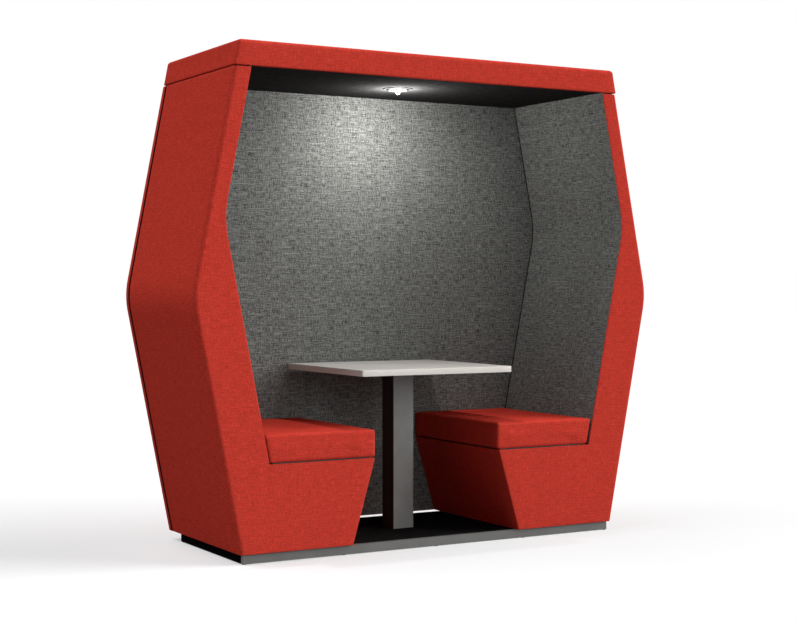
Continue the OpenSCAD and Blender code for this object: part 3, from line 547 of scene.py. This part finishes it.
def grainy(name, colour, roughness, spread=0.25, fine=900.0, coarse=12.0, bump=0.25, metallic=0.0,
           distance=0.0002, **sockets):
    add, shader, mat = principled(name, roughness, metallic, **sockets)
    put_group(add, shader, grain_group(), {
        "Fine": fine, "Coarse": coarse,
        "Dark": scaled(colour, 1 - spread), "Light": scaled(colour, 1 + spread)},
        add("TexCoord").outputs["Object"], bump, distance)
    return mat


def timber(name, colour):
    add, shader, mat = principled(name, 0.6)
    put_group(add, shader, timber_group(), {"Dark": scaled(colour, 0.78), "Light": scaled(colour, 1.15)},
              add("TexCoord").outputs["Object"], 0.3, 0.0002)
    return mat


def laminate_material(name, colour, spread=0.12):
    add, shader, mat = principled(name, 0.42)
    values = {"Dark": scaled(colour, 1 - spread), "Light": scaled(colour, 1 + spread),
              "Speck": scaled(colour, 1 - 2.2 * spread)}
    put_group(add, shader, speckle_group(), values, add("TexCoord").outputs["Object"], 0.12, 0.0001)
    return mat


def lit_material(name, colour, strength, unlit=0.002):
    """A lens that glows: its own colour is only a small part of what it gives out."""
    add, shader, mat = principled(name, 0.4, Base_Color=scaled(colour, unlit), Emission_Strength=strength)
    put_group(add, shader, grain_group(), {
        "Fine": 300.0, "Coarse": 40.0, "Dark": scaled(colour, 0.94), "Light": scaled(colour, 1.0)},
        add("TexCoord").outputs["Object"], into="Emission Color")
    return mat


FINISHES = {
    "red_wool": lambda name: wool(name, look().red, look().red_pitch, 1.9, 1.0, 0.12, 0.12, 0.42),
    "grey_melange": lambda name: wool(name, look().grey, look().grey_pitch, 3.8, 1.5, 0.10, 0.8, 0.75, 0.2),
    "black_felt": lambda name: grainy(name, (0.0235, 0.023, 0.0225), 0.95, 0.45, 350, 30, 0.6,
                                      distance=0.0008, Specular_IOR_Level=0.0),
    "carpet": lambda name: grainy(name, (0.010, 0.010, 0.010), 0.95, 0.5, 300, 18, 0.7, distance=0.0012,
                                  Specular_IOR_Level=0.0),
    "plinth_grey": lambda name: grainy(name, (0.105, 0.105, 0.100), 0.55, 0.18, 700, 9, 0.2),
    "plinth_black": lambda name: grainy(name, (0.006, 0.006, 0.006), 0.7, 0.25, 700, 9, 0.2,
                                        Specular_IOR_Level=0.0),
    # Near-black coat on the post's left and right faces: painted shade on what is one grey coat
    "coated_black": lambda name: grainy(name, (0.03, 0.03, 0.03), 0.62, 0.2, 1600, 14, 0.35,
                                        Specular_IOR_Level=0.02),
    # Near-black cloth on the cover flanks inside the seam gaps and on the linings' rear edges: painted shade
    # of those gaps and corners
    "seam_black": lambda name: grainy(name, (0.012, 0.010, 0.010), 0.95, 0.3, 900, 30, 0.3,
                                      Specular_IOR_Level=0.0),
    "plywood": lambda name: timber(name, (0.52, 0.36, 0.18)),
    # Near-black board for the gap strips under the roof and the seat boards under the cushions: painted shade
    # of those shadow gaps
    "dark_board": lambda name: timber(name, (0.012, 0.011, 0.010)),
    "nylon": lambda name: grainy(name, (0.014, 0.014, 0.014), 0.45, 0.2, 1200, 40, 0.15),
    "cable_sheath": lambda name: grainy(name, (0.02, 0.02, 0.02), 0.55, 0.2, 1500, 60, 0.1),
    "laminate": lambda name: laminate_material(name, look().laminate),
    "laminate_edge": lambda name: laminate_material(name, tuple(1.48 * c for c in look().laminate), 0.04),
    "coated_steel": lambda name: grainy(name, look().coat, 0.62, 0.14, 1600, 14, 0.35,
                                        Specular_IOR_Level=0.15),
    "zinc_steel": lambda name: grainy(name, (0.60, 0.60, 0.61), 0.34, 0.12, 900, 70, 0.15, metallic=1.0),
    "lamp_black": lambda name: grainy(name, (0.016, 0.016, 0.016), 0.6, 0.15, 1500, 30, 0.1,
                                      Specular_IOR_Level=0.1),
    "lamp_dark": lambda name: grainy(name, (0.004, 0.004, 0.004), 0.8, 0.15, 1500, 30, 0.1,
                                     Specular_IOR_Level=0.0),
    "lamp_aluminium": lambda name: grainy(name, (0.66, 0.66, 0.67), 0.4, 0.1, 1200, 30, 0.2, metallic=1.0),
    "lit_lens": lambda name: lit_material(name, (1.0, 0.98, 0.94), 2.0),
}

# Finishes of the solids that show as they are
SOLIDS = {
    "black_felt": "ceiling_panel",
    "carpet": "floor_carpet",
    "plinth_grey": "plinth_front",
    "plinth_black": "plinth_sides plinth_back",
    "plywood": "plinth_bearers floor_board left_ribs right_ribs left_rails right_rails left_boards "
               "right_boards left_deck right_deck back_core roof_frame",
    # Boards seen only in shadow gaps, coloured near black as painted shade
    "dark_board": "left_gap_strip right_gap_strip left_seat_board right_seat_board",
    "nylon": "floor_glides back_spacers lamp_driver mains_inlet",
    "cable_sheath": "lamp_lead supply_lead",
    "coated_steel": "table_plate post_foot",
    "zinc_steel": "table_screws foot_bolts foot_nuts back_bolts back_nuts roof_bolts roof_nuts base_bolts "
                  "base_nuts lamp_clips lamp_pins inlet_pins",
    "lamp_black": "lamp_trim",
    "lamp_dark": "lamp_head",
    "lamp_aluminium": "lamp_heat_sink",
    "lit_lens": "lamp_lens",
}


def material(name):
    """The finish of that name, made when it is first asked for."""
    return bpy.data.materials.get("finish_" + name) or FINISHES[name](name)


# Pieces

class POD_OT_side_shells(bpy.types.Operator):
    """Red wool covers of the two side walls, with their soft front edges"""
    bl_idname = "pod.side_shells"
    bl_label = "Side shells"

    def rows(self, s, z0, z1):
        """Height of each row, how far its section is drawn in to round the two ends, and whether it
        belongs to the wall over the deck. Two rows at the deck's height step from bench to wall."""
        inset, rise = rounding(s.seam_r, 4)
        close = 0.001
        low = joined(z0 + rise, steps(z0 + 2 * s.seam_r, s.deck_z - close), s.deck_z)
        high = joined(s.deck_z, steps(s.deck_z + close, z1 - 2 * s.seam_r, KINK_PITCH), z1 - rise[::-1])
        z = joined(low, high)
        d = drawn_in(inset, len(z))
        return z, d, np.arange(len(z)) >= len(low)

    def wall(self, s, name):
        """A level section runs from the back edge along the outer face, round the padded front edge,
        over the front face, round the inner edge and back behind the lining; it is carried up the wall."""
        def grid(column, row=0.0):
            return column[:, None] + np.atleast_1d(row)[None, :]

        z, d, upper = self.rows(s, s.plinth_h, s.roof_z - s.roof_gap)
        level = np.zeros(len(z))
        outer = out_x(z) - d
        inner = np.where(upper, in_x(z), bench_x(z)) + d
        turn, rise = rounding(s.edge_r, 7)
        small, rise_small = rounding(s.inner_r, 3)
        back, rise_back = rounding(s.seam_r, 3)
        depth, skin = s.side_d, outer - s.skin_t + d
        behind = np.where(upper, inner + s.lining_t / math.cos(s.lean), inner)
        # Columns close to the roundings keep the flat faces flat in the shading
        run = joined(depth - s.seam_r - 0.006, steps(depth - 0.03, s.edge_r + 0.012, DEPTH_PITCH),
                     s.edge_r + 0.004)
        share = joined(0.02, np.linspace(0.08, 0.92, 9), 0.98)
        start, width = outer - s.edge_r, inner + s.inner_r - (outer - s.edge_r)
        x = np.concatenate([
            grid(skin), grid(outer, -back), grid(outer, 0 * run), grid(outer, -turn[::-1]),
            start[:, None] + width[:, None] * share[None, :],
            grid(inner, small), grid(inner), grid(behind), grid(behind), grid(skin)], 1)
        y = np.concatenate([
            grid(level, depth), grid(level, depth - rise_back), grid(level, run), grid(level, rise[::-1]),
            grid(level, 0 * share), grid(level, rise_small), grid(level, s.lip),
            grid(np.where(upper, s.lip, 0.5 * (s.lip + s.skin_t))),
            grid(level, s.skin_t), grid(level, s.skin_t)], 1)
        return sections(name, z, x, np.maximum(y, d[:, None]) + s.front_y)

    def slant(self, s, name):
        """The bench's slanting skin: its face and the same face moved out, carried up to the deck."""
        z = steps(s.plinth_h, s.deck_z)
        y = steps(s.skin_t, s.side_d, DEPTH_PITCH)
        near, far = bench_x(z)[:, None], bench_x(z, s.bench_skin_t)[:, None]
        x = np.concatenate([np.repeat(near, len(y), 1), np.repeat(far, len(y), 1)], 1)
        return sections(name, z, x, s.front_y + joined(y, y[::-1])[None, :])

    def execute(self, context):
        s = sizes()
        right = self.wall(s, "right_shell_cover")
        skin = self.slant(s, "right_bench_skin")
        for side, shell, bench in (("right", right, skin), ("left", mirror_piece(right, "left_shell_cover"),
                                                            mirror_piece(skin, "left_bench_skin"))):
            for piece in (shell, bench):
                dress(cloth_map(piece), "pod", "red_wool", slot="red_wool")
            # The cover's faces that look back into the seam gap to the back panel take near-black cloth:
            # painted shade of the gap
            second_finish(shell, "seam_black",
                          lambda middle, normal: (normal[:, 1] > 0.9) & (middle[:, 1] > 0))
            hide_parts(side + "_shell")
        return {"FINISHED"}


class POD_OT_linings(bpy.types.Operator):
    """Grey melange linings of the side walls and the back"""
    bl_idname = "pod.linings"
    bl_label = "Linings"

    def execute(self, context):
        """A side lining is the wall's inner face and the same face moved out by its thickness, joined
        by a quarter circle at the rear. The back lining is a level strip at each height, as wide as
        the gap between the benches, and above them as far as the side linings."""
        s = sizes()
        z = steps(s.deck_z, s.roof_z, LINING_PITCH)
        end = s.side_d + s.seam_gap - s.back_lining_t
        turn, rise = rounding(s.roll_r, 5)
        y = joined(s.lip, steps(0.012, end - 2 * s.roll_r, DEPTH_PITCH))
        near, far = in_x(z)[:, None], in_x(z, s.lining_t)[:, None]
        x = np.concatenate([np.repeat(near, len(y), 1), near + rise[None, :], far,
                            np.repeat(far, len(y), 1)], 1)
        y = joined(y, end - turn, end, y[::-1])
        right = sections("right_lining_cloth", z, x, s.front_y + y[None, :])
        left = mirror_piece(right, "left_lining_cloth")
        # A band along each side lining's rear edge takes near-black cloth: painted shade of the corner with
        # the back lining
        shadow = s.front_y + end - 1.6 * s.roll_r
        for piece, side in ((right, "right"), (left, "left")):
            dress(cloth_map(piece), "pod", "grey_melange", side + "_lining", slot="grey_melange")
            second_finish(piece, "seam_black", lambda middle, normal: middle[:, 1] > shadow)
        step_z = s.deck_z + s.lining_fit
        low, high = steps(s.plinth_h, step_z), steps(step_z, s.roof_z, LINING_PITCH)
        half = joined(bench_x(low) - s.lining_fit, in_x(high, s.lining_t - s.lining_fit))
        share = np.linspace(-1, 1, 25)
        x = half[:, None] * joined(share, share[::-1])[None, :]
        wall = s.front_y + s.side_d + s.seam_gap
        y = joined(np.full(len(share), wall - s.back_lining_t), np.full(len(share), wall))[None, :]
        back = sections("back_lining_cloth", joined(low, high), x, y)
        dress(cloth_map(back), "pod", "grey_melange", "back_lining", slot="grey_melange")
        return {"FINISHED"}


class POD_OT_back_cover(bpy.types.Operator):
    """Red wool cover of the back panel, with soft rear edges"""
    bl_idname = "pod.back_cover"
    bl_label = "Back cover"

    def execute(self, context):
        """Half a level section rounds the seam edge, runs back along the side and rounds the rear edge;
        then it crosses the rear face and comes back mirrored. It is carried up the wall's outline."""
        s = sizes()
        top = s.roof_z - s.roof_gap
        inset, rise = rounding(s.back_r, 5)
        z = joined(s.plinth_h + rise, steps(s.plinth_h + 2 * s.back_r, top - 2 * s.back_r, KINK_PITCH),
                   top - rise[::-1])
        d = drawn_in(inset, len(z))
        y0 = s.front_y + s.side_d + s.seam_gap
        y1 = y0 + s.back_t
        small, rise_small = rounding(s.seam_r, 3)
        half = out_x(z)[:, None] + s.back_proud
        edge = joined(small, 0.0, inset[::-1])
        depth = joined(y0 + rise_small, 0.5 * (y0 + y1), y1 - rise[::-1])
        share = joined(0.985, np.linspace(0.94, -0.94, 22), -0.985)
        near = half - np.maximum(edge[None, :], d[:, None])
        rear = (half - np.maximum(s.back_r, d[:, None])) * share[None, :]
        x = np.concatenate([near, rear, -near[:, ::-1]], 1)
        y = np.concatenate([np.broadcast_to(depth, near.shape), np.full(rear.shape, y1),
                            np.broadcast_to(depth[::-1], near.shape)], 1)
        y = np.minimum(y, y1 - s.back_r + np.sqrt(np.maximum(s.back_r ** 2 - d ** 2, 0))[:, None])
        piece = sections("back_panel_cover", z, x, y)
        dress(cloth_map(piece), "pod", "red_wool", "back_cover", slot="red_wool")
        # The cover's faces that look forward into the seam gap to the side walls take near-black cloth:
        # painted shade of the gap
        second_finish(piece, "seam_black", lambda middle, normal: middle[:, 1] < y0 + s.seam_r)
        return {"FINISHED"}


def rounded_rectangle(half_x, half_y, r, corner=5, side=12):
    """Outline of a rectangle: a quarter circle of radius r at each corner and even points along each
    side, the same count of points for any size."""
    a = np.linspace(0, math.pi / 2, corner + 1)
    arc_x, arc_y = r * np.cos(a), r * np.sin(a)
    cx, cy = half_x - r, half_y - r
    run = np.linspace(0, 1, side + 1)[1:-1]
    x = joined(cx + arc_x, cx - 2 * cx * run, -cx - arc_y, np.full(side - 1, -half_x),
               -cx - arc_x, -cx + 2 * cx * run, cx + arc_y, np.full(side - 1, half_x))
    y = joined(cy + arc_y, np.full(side - 1, half_y), cy + arc_x, cy - 2 * cy * run,
               -cy - arc_y, np.full(side - 1, -half_y), -cy - arc_x, -cy + 2 * cy * run)
    return x, y


def stacked(name, rings, middle=(0.0, 0.0), smooth_angle=40, **facts):
    """A closed form from rounded rectangles: rings of (half x, half y, corner radius, height)."""
    loops = [rounded_rectangle(hx, hy, r, **facts) for hx, hy, r, _ in rings]
    x = np.array([a for a, _ in loops]) + middle[0]
    y = np.array([b for _, b in loops]) + middle[1]
    return sections(name, [ring[3] for ring in rings], x, y, smooth_angle)


class POD_OT_roof(bpy.types.Operator):
    """Red wool cover of the roof, hollow below, with soft upper edges"""
    bl_idname = "pod.roof"
    bl_label = "Roof cover"

    def execute(self, context):
        """Rings of rounded rectangles run down the hollow to the rim, round it, up the leaning sides,
        round the upper edge by a quarter circle and in over the flat top; the inlet is cut out."""
        s = sizes()
        middle, _, half_y, _, _ = level_box("roof_cover")
        inset, rise = rounding(s.roof_r, 7)
        lift, lift_rise = rounding(s.seam_r, 3)
        half = lambda z: float(out_x(z))
        skin, corner = s.roof_skin_t, s.roof_corner_r
        rings = [(half(z) - skin, half_y - skin, 0.002, z) for z in (s.top - skin, s.roof_z)]
        rings += [(half(s.roof_z) - d, half_y - d, corner, s.roof_z + z) for d, z in zip(lift, lift_rise)]
        rings += [(half(z), half_y, corner, z)
                  for z in steps(s.roof_z + 0.012, s.top - s.roof_r - 0.006, LINING_PITCH)]
        rings += [(half(s.top - s.roof_r) - d, half_y - d, max(corner - 0.3 * d, RING_CORNER), s.top - z)
                  for d, z in zip(inset[::-1], rise[::-1])]
        flat_x, flat_y = rings[-1][:2]
        rings += [(flat_x - d, flat_y - d, RING_CORNER, s.top) for d in ROOF_RINGS]
        piece = stacked("roof_cover_cloth", rings, (0.0, middle[1]), side=24)
        inlet, inlet_x, inlet_y, low, high = level_box("mains_inlet")
        slack = 0.0002
        cutter = stacked("inlet_cutter", [(inlet_x + slack, inlet_y + 0.02, 0.0005, z)
                                          for z in (low - slack, high + slack)], inlet)
        cut = piece.modifiers.new("Inlet", "BOOLEAN")
        cut.object, cut.operation, cut.solver = cutter, "DIFFERENCE", "EXACT"
        apply_modifiers(piece)
        bpy.data.objects.remove(cutter)
        shade(piece.data, 40)
        dress(cloth_map(piece), "pod", "red_wool", "roof_cover", slot="red_wool")
        return {"FINISHED"}


def apply_modifiers(piece):
    """Makes a piece's modified mesh its own."""
    graph = bpy.context.evaluated_depsgraph_get()
    mesh = bpy.data.meshes.new_from_object(piece.evaluated_get(graph))
    old = piece.data
    piece.modifiers.clear()
    piece.data = mesh
    bpy.data.meshes.remove(old)
    mesh.name = piece.name


def swell(piece, most, pressure=4.0, frames=20):
    """Points of a cloth under air pressure, none further than most from where it began."""
    start = read(piece.data.vertices, "co")
    cloth = piece.modifiers.new("Cloth", "CLOTH")
    rule = cloth.settings
    rule.quality = 4
    rule.mass = 0.25
    rule.tension_stiffness = rule.compression_stiffness = 25
    rule.shear_stiffness = 12
    rule.bending_stiffness = 2.0
    rule.use_pressure = True
    rule.uniform_pressure_force = pressure
    rule.effector_weights.gravity = 0
    scene = bpy.context.scene
    for step in range(1, frames + 1):
        scene.frame_set(step)
    graph = bpy.context.evaluated_depsgraph_get()
    moved = read(piece.evaluated_get(graph).to_mesh().vertices, "co") - start
    piece.modifiers.remove(cloth)
    scene.frame_set(1)
    far = np.linalg.norm(moved, axis=1, keepdims=True)
    moved *= np.minimum(1, most / np.maximum(far, 1e-9))
    return start + moved


class POD_OT_cushions(bpy.types.Operator):
    """Loose seat cushions: foam in a sewn wool cover, swollen by a cloth simulation"""
    bl_idname = "pod.cushions"
    bl_label = "Cushions"

    def block(self, s, name, shrink):
        """Foam block: a rounded rectangle at each height, its wall side leaning with the lining. A
        quarter circle rounds the lower and upper edges, and ever smaller rings close both flat ends."""
        z0, z1 = s.cushion_base, s.cushion_base + s.cushion_t
        y0 = s.front_y + 0.5 * s.lip + shrink
        y1 = s.front_y + s.side_d + s.seam_gap - s.back_lining_t - 0.5 * s.cushion_gap - shrink
        inset, rise = rounding(s.cushion_r, 5)
        z = joined(z0 + rise, steps(z0 + 1.5 * s.cushion_r, z1 - 1.5 * s.cushion_r, LINING_PITCH),
                   z1 - rise[::-1])
        d = drawn_in(inset, len(z))
        closing = 1 - np.linspace(0, 0.9, 10)[1:]
        count = len(closing)
        z = joined(np.full(count, z0), z, np.full(count, z1))
        share = joined(closing[::-1], np.ones(len(d)), closing)
        d = joined(np.full(count, s.cushion_r), d, np.full(count, s.cushion_r))
        x0 = s.bench_half + s.cushion_setback - s.cushion_proud + shrink
        x1 = in_x(z) - s.cushion_gap / math.cos(s.lean) - shrink
        x, y = [], []
        for far, inwards, part in zip(x1, d, share):
            corner = max(s.cushion_corner_r - 0.5 * inwards, RING_CORNER)
            ring = rounded_rectangle(0.5 * (far - x0) - inwards, 0.5 * (y1 - y0) - inwards, corner, side=28)
            x.append(0.5 * (x0 + far) + part * ring[0])
            y.append(0.5 * (y0 + y1) + part * ring[1])
        return sections(name, z, np.array(x), np.array(y), 60)

    def finish_form(self, s, points):
        """Keeps the underside flat and the wall side clear of the lining, and crowns the top by a
        product of two parabolas, one along each level axis, which fades towards the underside."""
        lo, hi = points.min(0), points.max(0)
        u, v = (2 * (points[:, i] - lo[i]) / (hi[i] - lo[i]) - 1 for i in (0, 1))
        w = np.clip((points[:, 2] - lo[2]) / (hi[2] - lo[2]), 0, 1)
        crown = s.cushion_crown * np.maximum(1 - u ** 2, 0) * np.maximum(1 - v ** 2, 0) * w ** 3
        points[:, 2] = np.maximum(points[:, 2], s.cushion_base) + crown
        points[:, 0] = np.minimum(points[:, 0], in_x(points[:, 2]) - 0.5 * s.cushion_gap)
        return points

    def execute(self, context):
        s = sizes()
        # The block starts smaller, so that the swollen cushion fits between bench and lining
        right = self.block(s, "right_seat_cushion", 0.4 * s.swell)
        remesh = right.modifiers.new("Even", "REMESH")
        remesh.mode, remesh.voxel_size, remesh.adaptivity = "VOXEL", s.voxel, 0
        apply_modifiers(right)
        points = swell(right, s.swell)
        put_points(right.data, self.finish_form(s, points))
        tidy(right.data)
        shade(right.data, 180)
        left = mirror_piece(right, "left_seat_cushion")
        for piece, side in ((right, "right"), (left, "left")):
            cloth_map(piece)
            smooth = piece.modifiers.new("Smooth", "SUBSURF")
            smooth.levels = smooth.render_levels = 1
            dress(piece, side + "_seat", "red_wool", side + "_cushion", slot="red_wool")
        return {"FINISHED"}


class POD_OT_table(bpy.types.Operator):
    """Laminate table top with a pale edge band, and its post: a grey coat in front and sides painted near
    black as painted shade
    """
    bl_idname = "pod.table"
    bl_label = "Table"

    def execute(self, context):
        """Rings of rounded rectangles: a quarter circle at the board's lower and upper edges, then
        smaller ones over its flat top; and an even column for the post."""
        s = sizes()
        middle, half_x, half_y, low, high = level_box("table_top")
        inset, rise = rounding(s.table_edge_r, 4)
        rings = [(half_x - d, half_y - d, s.table_corner_r, low + z) for d, z in zip(inset, rise)]
        rings += [(half_x - d, half_y - d, s.table_corner_r, high - z)
                  for d, z in zip(inset[::-1], rise[::-1])]
        flat_x, flat_y = half_x - s.table_edge_r, half_y - s.table_edge_r
        rings += [(flat_x - d, flat_y - d, RING_CORNER, high) for d in TABLE_RINGS]
        board = stacked("table_board", rings, middle, 50)
        dress(board, "pod", "laminate", "table_top", slot="laminate")
        second_finish(board, "laminate_edge", lambda middle, normal: np.abs(normal[:, 2]) < 0.9)
        middle, half_x, half_y, low, high = level_box("table_post")
        post = stacked("table_column", [(half_x, half_y, s.post_r, z) for z in steps(low, high, 0.1)], middle)
        dress(post, "pod", "coated_steel", "table_post", slot="coated_steel")
        # The post's left and right faces take a near-black coat: painted shade of the dim cabin they face
        second_finish(post, "coated_black", lambda middle, normal: np.abs(normal[:, 0]) > 0.75)
        return {"FINISHED"}


class POD_OT_solids(bpy.types.Operator):
    """Finishes of the solids that show as they are"""
    bl_idname = "pod.solids"
    bl_label = "Solids"

    def execute(self, context):
        for finish, names in SOLIDS.items():
            for name in names.split():
                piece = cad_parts[name]
                piece.data.materials.clear()
                piece.data.materials.append(material(finish))
        return {"FINISHED"}


class POD_OT_stage(bpy.types.Operator):
    """Camera, floor, sky and lamps"""
    bl_idname = "pod.stage"
    bl_label = "Studio"

    def lamp(self, name, kind, place=(0, 0, 3), **facts):
        data = bpy.data.lights.new(name, kind)
        for key, value in facts.items():
            setattr(data, key, value)
        lamp = new_object(name, data)
        lamp.location = place
        return lamp

    def sun(self, name, way, level, softness):
        """Even light from a wide patch of sky: a white face turned to it renders at that level."""
        lamp = self.lamp(name, "SUN", energy=level * math.pi, angle=math.radians(softness))
        lamp.rotation_euler = Vector(way).to_track_quat("Z", "Y").to_euler()

    def sky(self, studio):
        """Soft light on the object, and plain white where the camera sees the sky."""
        world = bpy.data.worlds.new("studio")
        add = blank(world)
        soft = add("Background", {"Color": (0.99, 0.99, 1.0, 1), "Strength": studio.sky})
        plain = add("Background", {"Color": (1, 1, 1, 1), "Strength": 1.0})
        mixed = add("MixShader", {0: seen_rays(add), 1: soft.outputs[0], 2: plain.outputs[0]})
        add("OutputWorld", {0: mixed.outputs[0]})
        return world

    def floor(self, studio, reach=40.0):
        """A matt square that keeps the object's shadow. The camera sees it paler than it lights the
        object, and mixed with plain white, more so to the right."""
        mesh = bpy.data.meshes.new("floor")
        mesh.from_pydata([(-reach, -reach, 0), (reach, -reach, 0), (reach, reach, 0), (-reach, reach, 0)],
                         [], [(0, 1, 2, 3)])
        floor = new_object("floor", mesh)
        pale = bpy.data.materials.new("studio_floor")
        add = blank(pale)
        seen = seen_rays(add)
        colour = blend_colours(add, seen, (studio.bounce,) * 3 + (1,), (*studio.floor, 1))
        matt = add("BsdfDiffuse", {"Color": colour})
        white = add("Emission", {"Color": (1, 1, 1, 1), "Strength": 1.0})
        across = add("SeparateXYZ", {0: add("TexCoord").outputs["Object"]}).outputs[0]
        fade = levels(add, across, -studio.fade_x, studio.fade_x, studio.fade_left, studio.fade_right)
        share = maths(add, "MULTIPLY", seen, fade)
        mixed = add("MixShader", {0: share, 1: matt.outputs[0], 2: white.outputs[0]})
        add("OutputMaterial", {0: mixed.outputs[0]})
        floor.data.materials.append(pale)

    def execute(self, context):
        scene, studio = context.scene, context.scene.pod_studio
        data = bpy.data.cameras.new("camera")
        data.lens, data.sensor_width, data.clip_end = studio.lens, 36, 200
        camera = new_object("camera", data)
        camera.location = CAMERA_AT
        camera.rotation_euler = (math.radians(90 - CAMERA_DOWN), 0, math.radians(-CAMERA_RIGHT))
        scene.camera = camera
        scene.world = self.sky(studio)
        scene.view_settings.view_transform = "Standard"
        self.floor(studio)
        for name, way, softness in SUNS:
            self.sun(name, way, getattr(studio, name), softness)
        (x, y), lens_half, _, lens_z, _ = level_box("lamp_lens")
        light = self.lamp("ceiling_light", "POINT", (x, y, lens_z - studio.drop), energy=studio.lamp,
                          shadow_soft_size=0.012)
        beam = self.lamp("ceiling_beam", "AREA", (x, y, lens_z - 0.5 * studio.drop), energy=studio.beam,
                         shape="DISK", size=2 * lens_half)
        light.visible_camera = beam.visible_camera = False
        return {"FINISHED"}


class POD_PT_panel(bpy.types.Panel):
    """Lists the pod's pieces and their sizes"""
    bl_label = "Acoustic pod"
    bl_idname = "POD_PT_panel"
    bl_space_type = "VIEW_3D"
    bl_region_type = "UI"
    bl_category = "Pod"

    def draw(self, context):
        for step in STEPS:
            self.layout.operator(step.bl_idname)
        for place in HOLDERS:
            holder = getattr(context.scene, place)
            column = self.layout.column()
            for name in holder.__annotations__:
                column.prop(holder, name)


STEPS = (POD_OT_stage, POD_OT_solids, POD_OT_side_shells, POD_OT_linings, POD_OT_back_cover, POD_OT_roof,
         POD_OT_cushions, POD_OT_table)
HOLDERS = {"pod_sizes": PodSizes, "pod_look": PodLook, "pod_studio": PodStudio}
CLASSES = (*HOLDERS.values(), *STEPS, POD_PT_panel)


def register():
    for item in CLASSES:
        bpy.utils.register_class(item)
    for place, holder in HOLDERS.items():
        setattr(bpy.types.Scene, place, PointerProperty(type=holder))


def unregister():
    for place in HOLDERS:
        delattr(bpy.types.Scene, place)
    for item in reversed(CLASSES):
        bpy.utils.unregister_class(item)


def main():
    register()
    for step in STEPS:
        area, name = step.bl_idname.split(".")
        getattr(getattr(bpy.ops, area), name)()


if __name__ == "__main__":
    main()
